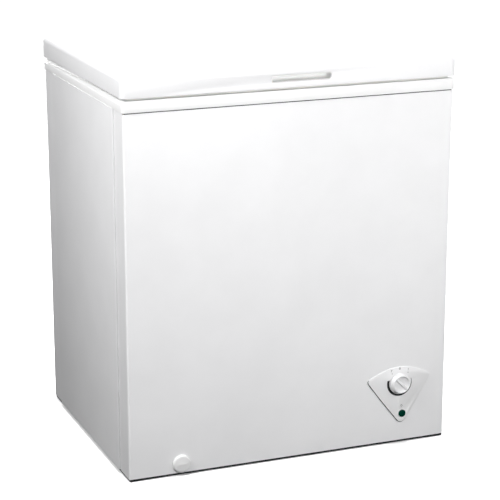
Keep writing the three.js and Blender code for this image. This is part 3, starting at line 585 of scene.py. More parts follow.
    def round(self, test: Callable[[Vector, Vector], bool], radius: float, segments: int = 6) -> "Piece":
        """Rounds the edges that pass a test.

        Args:
            test: given an edge's middle and direction, says whether it is rounded.
            radius: the rounding's radius.
            segments: how many faces make it.

        Returns:
            This piece.
        """
        self.edit()
        self.pick_edges(test)
        bpy.ops.mesh.bevel(offset=radius, segments=segments, affect="EDGES", profile=0.5)
        self.rest()
        return self

    def upright(self, radius: float, segments: int = 8) -> "Piece":
        """Rounds every vertical edge."""
        return self.round(lambda _, way: abs(way.z) > 0.99, radius, segments)

    def remove(self, test: Callable[[Vector, Vector], bool]) -> "Piece":
        """Deletes the faces that pass a test of middle and normal.

        Args:
            test: given a face's middle and its normal, says whether it goes.

        Returns:
            This piece.
        """
        self.edit()
        self.pick_faces(test)
        bpy.ops.mesh.delete(type="FACE")
        self.rest()
        return self

    def modified(self, kind: str, **settings: object) -> "Piece":
        """Adds a modifier and applies it.

        Args:
            kind: the modifier's type.
            settings: its values by attribute name.

        Returns:
            This piece.
        """
        self.active()
        modifier = self.obj.modifiers.new(kind.lower(), kind)
        for key, value in settings.items():
            setattr(modifier, key, value)
        bpy.ops.object.modifier_apply(modifier=modifier.name)
        return self

    def with_(self, other: "Piece", operation: str) -> "Piece":
        """Joins or cuts this piece with another, which is used up.

        Args:
            other: the other piece.
            operation: UNION or DIFFERENCE.

        Returns:
            This piece.
        """
        self.modified("BOOLEAN", object=other.obj, operation=operation, solver="EXACT")
        bpy.data.objects.remove(other.obj)
        return self

    def cut(self, other: "Piece") -> "Piece":
        """Takes another piece's space out of this one."""
        return self.with_(other, "DIFFERENCE")

    def join(self, other: "Piece") -> "Piece":
        """Makes one body of this piece and another."""
        return self.with_(other, "UNION")

    def merge(self, others: Iterable["Piece"]) -> "Piece":
        """Puts other meshes beside this one in the same object, as welded wires are.

        Args:
            others: the other pieces, which are used up.

        Returns:
            This piece.
        """
        others = list(others)
        self.clear()
        for other in others:
            other.obj.select_set(True)
        self.obj.select_set(True)
        bpy.context.view_layer.objects.active = self.obj
        bpy.ops.object.join()
        return self

    def soften(self, width: float, segments: int = 2, angle: float = 35) -> "Piece":
        """Rounds every edge sharper than an angle by a small width.

        Args:
            width: the rounding's width.
            segments: how many faces make it.
            angle: the angle in degrees.

        Returns:
            This piece.
        """
        return self.modified(
            "BEVEL", width=width, segments=segments, limit_method="ANGLE", angle_limit=math.radians(angle),
            use_clamp_overlap=True, miter_outer="MITER_ARC",
        )

    def sheet(self, thickness: float) -> "Piece":
        """Gives an open surface its wall, inwards."""
        return self.modified("SOLIDIFY", thickness=thickness, offset=-1.0, use_even_offset=True)

    def copy(self, name: str) -> "Piece":
        """Copies the piece with its own mesh.

        Args:
            name: the copy's name.

        Returns:
            The copy.
        """
        obj = self.obj.copy()
        obj.data = self.obj.data.copy()
        obj.name = obj.data.name = name
        bpy.context.scene.collection.objects.link(obj)
        return Piece(obj)

    def moved(self, by: Iterable[float]) -> "Piece":
        """Moves the mesh."""
        self.obj.data.transform(Matrix.Translation(Vector(by)))
        return self

    def fit(
        self, finish: Finish | Lens, body: str, slot: str, replaces: Iterable[str] = (), smooth: float = 35
    ) -> "Piece":
        """Dresses the finished piece and hangs it on its body.

        Args:
            finish: its surface.
            body: the body that it moves with.
            slot: the record's material slot; not used.
            replaces: the frame nodes that it stands for.
            smooth: edges flatter than this many degrees shade smoothly.

        Returns:
            This piece.
        """
        self.active()
        bpy.ops.object.shade_smooth_by_angle(angle=math.radians(smooth))
        self.obj.data.materials.clear()
        self.obj.data.materials.append(finish.build())
        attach(self.obj, body)
        nodes = list(replaces)
        if nodes:
            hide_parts(*nodes)
        LOG.info("%s: %d faces on %s", self.obj.name, len(self.obj.data.polygons), body)
        return self


def dress(finish: Finish | Lens, *nodes: str) -> None:
    """Gives frame nodes that stay as they are their surface.

    Args:
        finish: the surface.
        nodes: the nodes' names.
    """
    for node in nodes:
        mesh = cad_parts[node].data
        mesh.materials.clear()
        mesh.materials.append(finish.build())
        LOG.info("%s: kept, in %s", node, finish.name)


def rounded_block(name: str, box: Box, radius: float, segments: int = 8) -> Piece:
    """A block with round upright edges.

    Args:
        name: the piece's name.
        box: its outside.
        radius: the corners' radius.
        segments: how many faces make each corner.

    Returns:
        The block.
    """
    return Piece.block(name, box).upright(radius, segments)


def obround(name: str, box: Box, segments: int = 12) -> Piece:
    """A bar along Y whose outline seen from the front has round ends.

    Args:
        name: the piece's name.
        box: its outside.
        segments: how many faces make each quarter.

    Returns:
        The bar.
    """
    radius = box.size.z / 2 * 0.999
    return Piece.block(name, box).round(lambda _, way: abs(way.y) > 0.99, radius, segments)


# ---------------------------------------------------------------- studio


@dataclass
class Studio:
    """The pale floor, the soft lights and the camera."""

    yaw: float = 21.733
    pitch: float = 15.453
    lens: float = 129.7
    stand: tuple[float, float, float] = (-1.411, -3.5858, 1.4541)
    boxes: tuple[tuple, ...] = (
        ("key", (0.14, -1.84, 0.81), (0, -0.1, 0.6), (0.8, 0.8), 19.8),
        ("side", (-1.74, -0.55, 1.86), (0, -0.1, 0.6), (0.8, 0.8), 39.4),
        ("low_left", (-1.32, -0.6, 0.83), (0, -0.1, 0.6), (0.8, 0.8), 2.4),
        ("right", (1.05, -1.21, 0.8), (0, -0.1, 0.6), (0.8, 0.8), 4.1),
        ("top", (0.5, 0.4, 2.6), (0.1, 0, 0.8), (2.4, 2.4), 27),
        ("rear", (1.0, 2.6, 1.7), (0, 0.1, 0.5), (2.6, 1.2), 76),
        ("far_side", (2.6, 0.5, 1.5), (0.3, 0, 0.5), (1.2, 1.2), 36),
    )
    floor_half: float = 30.0
    floor_wash: float = 3.3
    sky_strength: float = 0.08

    def floor(self) -> None:
        """Adds the floor and the overhead light that washes it white and lights nothing else."""
        Piece.clear()
        bpy.ops.mesh.primitive_plane_add(size=2 * self.floor_half, location=(0, 0, -0.05 * MM))
        plane = bpy.context.object
        plane.name = "studio_floor"
        matt = Finish(
            "pale_studio_floor", "fbfbfb", "f9f9f9", 0.9, Grain.SPARK, 4 * MM, 0.01 * MM, specular=0.1
        )
        plane.data.materials.append(matt.build())
        plane.visible_diffuse = plane.visible_glossy = False
        data = bpy.data.lights.new("floor_wash", "SUN")
        data.energy, data.angle = self.floor_wash, math.radians(4)
        wash = bpy.data.objects.new("floor_wash", data)
        bpy.context.scene.collection.objects.link(wash)
        lit = bpy.data.collections.new("washed")
        lit.objects.link(plane)
        wash.light_linking.receiver_collection = lit

    def backdrop(self) -> None:
        """Adds the white dome behind everything, which is seen and lights nothing."""
        Piece.clear()
        bpy.ops.mesh.primitive_uv_sphere_add(segments=64, ring_count=32, radius=0.98 * self.floor_half)
        dome = bpy.context.object
        dome.name = "studio_backdrop"
        made, tree, place = empty_material("white_seamless_backdrop")
        cloud = add_node(tree, "TexNoise", {"Scale": 0.05}, {"Vector": place})
        glow = add_node(tree, "MapRange", {"To Min": 0.99, "To Max": 1.0}, {"Value": cloud.outputs["Fac"]})
        shader = add_node(tree, "Emission", {"Color": (1, 1, 1, 1)}, {"Strength": glow.outputs["Result"]})
        add_node(tree, "OutputMaterial", links={"Surface": shader.outputs["Emission"]})
        dome.data.materials.append(made)
        dome.visible_diffuse = dome.visible_glossy = dome.visible_shadow = dome.visible_transmission = False

    def sky(self) -> None:
        """Sets an even white surround that is darker below the horizon."""
        world = bpy.data.worlds.new("white_studio")
        bpy.context.scene.world = world
        world.use_nodes = True
        tree = world.node_tree
        tree.nodes.clear()
        way = add_node(tree, "TexCoord").outputs["Generated"]
        split = add_node(tree, "SeparateXYZ", links={"Vector": way})
        ramp = add_node(
            tree, "MapRange",
            {
                "From Min": -0.05, "From Max": 0.02,
                "To Min": 0.1 * self.sky_strength, "To Max": self.sky_strength,
            },
            {"Value": split.outputs["Z"]},
        )
        back = add_node(tree, "Background", {"Color": (1, 1, 1, 1)}, {"Strength": ramp.outputs["Result"]})
        add_node(tree, "OutputWorld", links={"Surface": back.outputs["Background"]})

    def panel(
        self, name: str, at: Iterable[float], aim: Iterable[float], size: tuple[float, float], power: float
    ) -> None:
        """Adds a soft box.

        Args:
            name: the light's name.
            at: its middle.
            aim: the point that it looks at.
            size: its width and height.
            power: its power in watts.
        """
        data = bpy.data.lights.new(name, "AREA")
        data.shape, data.size, data.size_y, data.energy = "RECTANGLE", *size, power
        lamp = bpy.data.objects.new(name, data)
        lamp.visible_camera = False
        lamp.location = at
        lamp.rotation_euler = (Vector(aim) - Vector(at)).to_track_quat("-Z", "Y").to_euler()
        bpy.context.scene.collection.objects.link(lamp)

    def camera(self) -> None:
        """Adds the camera at the viewing angle of a product shot from the front left."""
        data = bpy.data.cameras.new("camera")
        data.lens, data.sensor_width = self.lens, 36
        data.clip_start, data.clip_end = 0.1, 100
        eye = bpy.data.objects.new("camera", data)
        eye.location = self.stand
        yaw, pitch = math.radians(self.yaw), math.radians(self.pitch)
        eye.rotation_euler = (math.pi / 2 - pitch, 0, -yaw)
        bpy.context.scene.collection.objects.link(eye)
        bpy.context.scene.camera = eye

    def build(self) -> None:
        """Builds the whole studio."""
        bpy.context.scene.view_settings.view_transform = "Standard"
        self.floor()
        self.backdrop()
        self.sky()
        for name, at, aim, size, power in self.boxes:
            self.panel(name, at, aim, size, power)
        self.camera()


# ---------------------------------------------------------------- sub-assemblies


@dataclass
class CabinetShell:
    """The wrapped front and back panels, the raised side panels, the base pan and the feet."""

    steel: float = 0.8 * MM
    corner: float = 4.5 * MM
    edge: float = 3.0 * MM
    shaft_hole: float = 7 * MM
    lamp_hole: float = 8.6 * MM
    drain_hole: float = 14.6 * MM
    gland_hole: float = 9.3 * MM
    slot: float = 2.4 * MM

    def wrap(self, name: str, box: Box, front: bool) -> Piece:
        """Bends a sheet round the front or the back: a face and two returns.

        Args:
            name: the piece's name.
            box: its outside.
            front: whether it is the front's.

        Returns:
            The bent sheet.
        """
        face, end = (box.lo.y, box.hi.y) if front else (box.hi.y, box.lo.y)
        deep = box.at(y1=end + 20 * MM) if front else box.at(y0=end - 20 * MM)
        made = Piece.block(name, deep).round(
            lambda mid, way: abs(way.z) > 0.99 and abs(mid.y - face) < MM, self.corner, 6
        )
        far = deep.hi.y if front else deep.lo.y
        made.remove(lambda mid, normal: abs(normal.z) > 0.9 or abs(mid.y - far) < MM)
        made.edit()
        bpy.ops.mesh.select_all(action="SELECT")
        bpy.ops.mesh.bisect(plane_co=(0, end, 0), plane_no=(0, 1 if front else -1, 0), clear_outer=True)
        made.rest()
        return made.sheet(self.steel)

    def hole(self, radius: float, x: float, y: float, z: float) -> Piece:
        """A cutter for a round hole through the front or the back."""
        return Piece.bar("cutter", radius, (x, y - 8 * MM, z), (x, y + 8 * MM, z), 40)

    def painted_shadow_piece(self, box: Box, low: float) -> None:
        """Lays black foam tape in the slot between the panel and the collar, which paints the slot's shade
        near-black.

        Args:
            box: the front panel's outside.
            low: the panel's upper edge.
        """
        # painted shade: this black strip darkens the slot under the collar to near-black
        shade_tape = box.grown(-3 * MM, 0, 0).at(
            y0=box.lo.y + self.steel + 0.1 * MM, y1=box.lo.y + 2.6 * MM, z0=low - 4 * MM, z1=box.hi.z - MM,
        )
        Piece.block("collar_slot_painted_shade", shade_tape).soften(0.4 * MM).fit(BLACK_RUBBER, "cabinet", "rubber")

    def front(self) -> None:
        """Builds the front panel, which stops short of the collar, with holes for dial, lamp and drain."""
        box = Box.of("front_panel")
        made = self.wrap("front_panel_skin", box, True)
        low = Box.of("top_frame").lo.z - self.slot
        made.cut(Piece.block("cutter", box.grown(MM, MM, MM).at(z0=low, y1=box.lo.y + self.corner)))
        self.painted_shadow_piece(box, low)
        knob, lamp, drain = (Box.of(n).mid for n in ("thermostat_knob", "indicator_lamp", "drain_cap"))
        for radius, at in ((self.shaft_hole, knob), (self.lamp_hole, lamp), (self.drain_hole, drain)):
            made.cut(self.hole(radius, at.x, box.lo.y, at.z))
        made.fit(ENAMEL, "cabinet", "white_enamel", ["front_panel"])

    def back(self) -> None:
        """Builds the back panel with its opening for the compressor bay."""
        box, grille, gland = Box.of("back_panel"), Box.of("compressor_grille"), Box.of("mains_lead_gland").mid
        made = self.wrap("back_panel_skin", box, False)
        lap = 10 * MM
        bay = grille.grown(-lap, 0, -lap).at(y0=box.hi.y - 10 * MM, y1=box.hi.y + 10 * MM)
        made.cut(Piece.block("cutter", bay))
        made.cut(self.hole(self.gland_hole, gland.x, box.hi.y, gland.z))
        for node in [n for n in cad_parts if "_screw_" in n]:
            at = Box.of(node).mid
            ends = [(at.x, box.hi.y + way * 6 * MM, at.z) for way in (-1, 1)]
            made.cut(Piece.bar("cutter", 2.2 * MM, *ends, 16))
        made.fit(ENAMEL, "cabinet", "white_enamel", ["back_panel"])

    def side(self, hand: str, way: int) -> None:
        """Builds a side panel: a shallow pan with soft edges.

        Args:
            hand: left or right, as in the node's name.
            way: which way it faces along X, 1 or -1.
        """
        box = Box.of(f"{hand}_side_panel")
        outer = box.hi.x if way > 0 else box.lo.x
        inner = box.lo.x if way > 0 else box.hi.x
        made = Piece.block(f"{hand}_side_skin", box)
        made.remove(lambda mid, normal: normal.z < -0.9 or abs(mid.x - inner) < 0.1 * MM)
        made.round(lambda mid, along: abs(along.z) > 0.9 and abs(mid.x - outer) < 0.1 * MM, self.edge, 5)
        made.sheet(self.steel)
        made.fit(ENAMEL, "cabinet", "white_enamel", [f"{hand}_side_panel"])

    def under_shadow_strip(self) -> None:
        """Lays a black strip under the panels, set back a little from their faces: painted shadow that
        darkens the gap under the cabinet.
        """
        box = Box.of("front_panel")
        deep = Box.of("back_panel").hi.y - 4 * MM
        inset, thick = 1.5 * MM, 6 * MM
        outer = box.grown(-inset, 0, 0).at(y0=box.lo.y + inset, y1=deep, z0=1.2 * MM, z1=box.lo.z - 0.3 * MM)
        # painted shadow: the black strip makes the line under the front and sides dark
        made = Piece.block("base_painted_shadow_strip", outer)
        made.cut(Piece.block("cutter", outer.grown(-thick, -thick, 0).at(z0=-MM, z1=outer.hi.z + MM)))
        made.soften(0.6 * MM, 2, 40)
        made.fit(BLACK_RUBBER, "cabinet", "rubber")

    def feet(self) -> None:
        """Builds the four feet: a ribbed skirt, a flat sole and a waist."""
        for node in [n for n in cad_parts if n.startswith("foot_")]:
            box = Box.of(node)
            radius, high = box.size.x / 2, box.size.z
            stations = [
                (radius - 2.4 * MM, 0), (radius - 1.2 * MM, 0.3 * MM), (radius, 1.6 * MM),
                (radius, high - 3.2 * MM),
                (radius - 1.0 * MM, high - 2.4 * MM), (radius - 4 * MM, high - 1.2 * MM),
                (radius - 4 * MM, high),
            ]
            made = Piece.turned(f"{node}_pad", stations, (box.mid.x, box.mid.y, 0))
            ribs = 16
            for i in range(ribs):
                turn = 2 * math.pi * i / ribs
                x, y = box.mid.x + radius * math.cos(turn), box.mid.y + radius * math.sin(turn)
                made.cut(Piece.bar("cutter", 1.1 * MM, (x, y, -MM), (x, y, high), 8))
            made.fit(BLACK_PP, "cabinet", "dark_plastic", [node])

    def build(self) -> None:
        """Builds the shell."""
        self.front()
        self.back()
        self.side("left", -1)
        self.side("right", 1)
        self.under_shadow_strip()
        self.feet()
        dress(GALVANISED, "base_pan")


@dataclass
class TopFrame:
    """The moulded ring over the panels' upper edges, with the ledge that the basket hangs on."""

    skirt_depth: float = 8 * MM
    skirt_wall: float = 2.2 * MM
    step: float = 0.7 * MM
    upper_band: float = 8 * MM
    ledge: float = 10 * MM
    fall: float = 9 * MM
    fall_start: float = 196 * MM
    fall_width: float = 8 * MM
    outer_radius: float = 7 * MM
    tub_radius: float = 30 * MM
    past: float = 5 * MM

    def fall_cutter(self, box: Box, side: int) -> Piece:
        """A wedge over one side's outer band, deeper towards the rear.

        Args:
            box: the ring's outside.
            side: which side, 1 or -1.

        Returns:
            The cutter.
        """
        edge = box.hi.x if side > 0 else box.lo.x
        x0, x1 = sorted((edge - side * self.fall_width, edge + side * self.past))
        tall = box.at(x0=x0, x1=x1, y0=box.lo.y + self.fall_start, z0=box.hi.z, z1=box.hi.z + 30 * MM)
        wedge = Piece.block("cutter", tall)
        wedge.edit()
        wedge.pick_edges(lambda mid, way: abs(way.x) > 0.9 and mid.z < box.hi.z + MM and mid.y > box.mid.y)
        bpy.ops.transform.translate(value=(0, 0, -self.fall))
        wedge.rest()
        return wedge

    def build(self) -> None:
        """Builds the ring from a lower band and a set-in upper band."""
        box, tub = Box.of("top_frame"), self.tub_box()
        made = rounded_block("top_collar", box.at(z1=box.hi.z - self.upper_band), self.outer_radius)
        made.join(rounded_block("upper", box.grown(-self.step, -self.step, 0), self.outer_radius))
        under = box.grown(-self.skirt_wall, -self.skirt_wall, 0)
        under = under.at(z0=box.lo.z - self.past, z1=box.lo.z + self.skirt_depth)
        made.cut(rounded_block("cutter", under, 4.5 * MM))
        through = tub.at(z0=box.lo.z - self.past, z1=box.hi.z + self.past)
        made.cut(rounded_block("cutter", through, self.tub_radius, 12))
        rebate = tub.grown(self.ledge, self.ledge, 0).at(z0=box.hi.z - self.ledge, z1=box.hi.z + self.past)
        made.cut(rounded_block("cutter", rebate, self.tub_radius, 12))
        for side in (-1, 1):
            made.cut(self.fall_cutter(box, side))
        made.soften(0.9 * MM, 3, 30)
        made.fit(WHITE_ABS, "cabinet", "white_plastic", ["top_frame"])

    @staticmethod
    def tub_box() -> Box:
        """The tub's inside in plan: the liner's box without its flange."""
        return Box.of("inner_liner").grown(-TUB_FLANGE, -TUB_FLANGE, 0)


@dataclass
class Tub:
    """The stepped liner, the foam behind it and the plug in its floor."""

    sheet: float = 1.2 * MM
    step_length: float = 195 * MM
    step_height: float = 204 * MM
    radius: float = 30 * MM
    floor_radius: float = 9 * MM
    drain_radius: float = 11.8 * MM

    def space(self, name: str, box: Box, grow: float) -> Piece:
        """The tub's space, grown sideways and downwards.

        Args:
            name: the piece's name.
            box: the tub's inside.
            grow: how far every wall is moved out.

        Returns:
            The space as a solid.
        """
        radius = self.radius + grow
        step_x, step_z = box.hi.x - self.step_length, box.lo.z + self.step_height
        upper = box.at(z0=step_z).grown(grow, grow, 0)
        upper = upper.at(z0=step_z - grow)
        lower = box.grown(grow, grow, 0).at(x1=step_x + grow, z0=box.lo.z - grow, z1=step_z + 20 * MM)
        made = rounded_block(name, upper, radius, 12).join(rounded_block("lower", lower, radius, 12))
        soft = self.floor_radius + grow
        low = (upper.lo.z, lower.lo.z)
        return made.round(
            lambda mid, way: abs(way.z) < 0.2 and min(abs(mid.z - z) for z in low) < 0.05 * MM, soft, 5
        )

    def build(self) -> None:
        """Builds the liner and the plug, and dresses the foam."""
        outer = Box.of("inner_liner")
        inside = TopFrame.tub_box().at(z0=outer.lo.z + self.sheet)
        made = self.space("tub_liner", inside, self.sheet)
        rim = rounded_block("rim", outer.at(z0=outer.hi.z - self.sheet), self.radius + TUB_FLANGE, 12)
        made.join(rim)
        # Known fault: this cut comes out wrong, and the liner is left closed at the top.
        made.cut(self.space("cutter", inside.at(z1=outer.hi.z + 5 * MM), 0))
        plug = Box.of("tub_drain_plug")
        x, y = plug.mid.x, plug.mid.y
        bore = [(x, y, inside.lo.z + way * 6 * MM) for way in (-1, 1)]
        made.cut(Piece.bar("cutter", self.drain_radius, *bore, 32))
        made.fit(STUCCO, "cabinet", "aluminium", ["inner_liner"], 30)
        self.plug(x, y, inside.lo.z)
        dress(FOAM, "lower_foam", "upper_foam", "lid_foam")

    def plug(self, x: float, y: float, z: float) -> None:
        """Builds the rubber plug: ribbed stem, domed flange and a pull tab.

        Args:
            x: its middle along X.
            y: its middle along Y.
            z: the tub's floor.
        """
        stem, flange = 10.9 * MM, 16.5 * MM
        stations = [
            (9.2 * MM, -20 * MM), (9.8 * MM, -19.2 * MM), (9.6 * MM, -13 * MM), (stem, -11 * MM),
            (9.8 * MM, -9 * MM),
            (9.8 * MM, -6 * MM), (stem, -4 * MM), (10.2 * MM, -1.5 * MM), (10.2 * MM, 0.3 * MM),
            (flange, 0.35 * MM),
            (flange, 1.4 * MM), (flange - MM, 2.5 * MM), (8 * MM, 3.4 * MM), (0.1 * MM, 3.6 * MM),
        ]
        made = Piece.turned("drain_plug_tub", stations, (x, y, z))
        tab = Box.span((x - 5 * MM, x + 5 * MM), (y - 1.4 * MM, y + 1.4 * MM), (z + 2 * MM, z + 8 * MM))
        made.join(Piece.block("tab", tab))
        made.soften(0.6 * MM, 2, 50)
        made.fit(RUBBER, "tub_plug", "rubber", ["tub_drain_plug"])


@dataclass
class Lid:
    """The pressed lid shell, its finger pocket, the moulded inner panel and the gasket."""

    skin: float = 1.6 * MM
    corner: float = 12 * MM
    edge: float = 9 * MM
    lip: float = 1.4 * MM
    pocket_wall: float = 1.2 * MM
    plug_inset: float = 20 * MM
    plug_radius: float = 30 * MM
    gasket_width: float = 18 * MM

    def rounded(self, name: str, box: Box, corner: float, edge: float, lip: float) -> Piece:
        """A slab with round corners, a large rounding on top and a small one below.

        Args:
            name: the piece's name.
            box: its outside.
            corner: the upright edges' radius.
            edge: the upper edges' radius.
            lip: the lower edges' radius, or 0.

        Returns:
            The slab.
        """
        made = rounded_block(name, box, corner, 10)
        made.round(lambda mid, way: abs(way.z) < 0.1 and abs(mid.z - box.hi.z) < 0.05 * MM, edge, 10)
        if lip:
            made.round(lambda mid, way: abs(way.z) < 0.1 and abs(mid.z - box.lo.z) < 0.05 * MM, lip, 4)
        return made

    def shell(self) -> None:
        """Builds the shell, open below, with the hole of the finger pocket."""
        box, pocket = Box.of("lid_outer_shell"), Box.of("handle_insert")
        made = self.rounded("lid_shell", box, self.corner, self.edge, self.lip)
        hollow = box.grown(-self.skin, -self.skin, 0).at(z0=box.lo.z - 5 * MM, z1=box.hi.z - self.skin)
        made.cut(self.rounded("cutter", hollow, self.corner - self.skin, self.edge - self.skin, 0))
        hole = pocket.grown(GAP, 0, GAP).at(y0=box.lo.y - 5 * MM, y1=box.lo.y + 6 * MM)
        made.cut(obround("cutter", hole))
        front = box.lo.y
        made.round(
            lambda mid, way: abs(mid.y - front) < 0.02 * MM and hole.lo.x - MM < mid.x < hole.hi.x + MM
            and hole.lo.z - MM < mid.z < hole.hi.z + MM, 0.8 * MM, 3,
        )
        made.fit(ENAMEL, "lid", "white_enamel", ["lid_outer_shell"])

    def pocket(self) -> None:
        """Builds the finger pocket: a cup whose floor meets its sides in a wide fillet."""
        box = Box.of("handle_insert")
        made = obround("finger_pocket", box)
        wall = self.pocket_wall
        inside = box.grown(-wall, 0, -wall).at(y0=box.lo.y - 5 * MM, y1=box.hi.y - wall)
        bowl = obround("cutter", inside)
        bowl.round(lambda mid, way: abs(mid.y - inside.hi.y) < 0.02 * MM, 5.0 * MM, 6)
        made.cut(bowl).soften(0.35 * MM, 2, 40)
        made.fit(POCKET, "lid", "white_plastic", ["handle_insert"])

    def inner(self) -> None:
        """Builds the inner panel: a flange, a plug that drops into the tub, and two pressed fields."""
        box = Box.of("lid_inner_panel")
        wall = 1.2 * MM
        tub = TopFrame.tub_box()
        inset = self.plug_inset
        plug = tub.grown(-inset, -inset, 0).at(z0=box.lo.z, z1=box.hi.z)
        made = rounded_block("lid_inner_moulding", box.at(z0=box.hi.z - wall - 0.3 * MM), 10 * MM, 8)
        under = rounded_block("plug", plug, self.plug_radius, 12)
        under.round(lambda mid, way: abs(way.z) < 0.1 and abs(mid.z - plug.lo.z) < 0.05 * MM, 6 * MM, 5)
        made.join(under)
        hollow = plug.grown(-wall, -wall, 0).at(z0=plug.lo.z + wall, z1=plug.hi.z + 5 * MM)
        inside = rounded_block("cutter", hollow, self.plug_radius - wall, 12)
        inside.round(lambda mid, way: abs(way.z) < 0.1 and abs(mid.z - hollow.lo.z) < 0.05 * MM, 5 * MM, 4)
        made.cut(inside)
        margin, sink = 45 * MM, 0.7 * MM
        half = (plug.size.x - 3 * margin) / 2
        for x0 in (plug.lo.x + margin, plug.mid.x + margin / 2):
            pressed = Box.span(
                (x0, x0 + half), (plug.lo.y + margin, plug.hi.y - margin), (plug.lo.z - MM, plug.lo.z + sink)
            )
            made.cut(rounded_block("cutter", pressed, 18 * MM, 8))
        made.soften(0.45 * MM, 2, 40)
        made.fit(WHITE_ABS, "lid", "white_plastic", ["lid_inner_panel"])

    def gasket(self) -> None:
        """Builds the magnetic gasket: a flat foot, a bellows waist and a soft bulb, mitred at the corners."""
        box = Box.of("lid_gasket")
        ring = []
        for inset, z0, z1 in ((0.0, 0.0, 0.62), (1.6 * MM, 0.5, 0.8), (0.4 * MM, 0.7, 1.0)):
            band = box.grown(-inset, -inset, 0)
            band = band.at(z0=box.lo.z + z0 * box.size.z, z1=box.lo.z + z1 * box.size.z)
            part = rounded_block("band", band, 8 * MM, 8)
            width = self.gasket_width - 2 * inset
            part.cut(rounded_block("cutter", band.grown(-width, -width, 5 * MM), 6 * MM, 8))
            ring.append(part)
        made = ring[0].join(ring[1]).join(ring[2])
        made.obj.name = "lid_gasket_bellows"
        groove = box.grown(-8 * MM, -8 * MM, 0).at(z0=box.lo.z - MM, z1=box.lo.z + 0.8 * MM)
        cutter = rounded_block("cutter", groove, 6 * MM, 8)
        cutter.cut(rounded_block("core", groove.grown(-2 * MM, -2 * MM, 5 * MM), 5 * MM, 8))
        made.cut(cutter).soften(0.4 * MM, 2, 40)
        made.fit(VINYL, "lid", "gasket_vinyl", ["lid_gasket"])

    def build(self) -> None:
        """Builds the lid."""
        self.shell()
        self.pocket()
        self.inner()
        self.gasket()


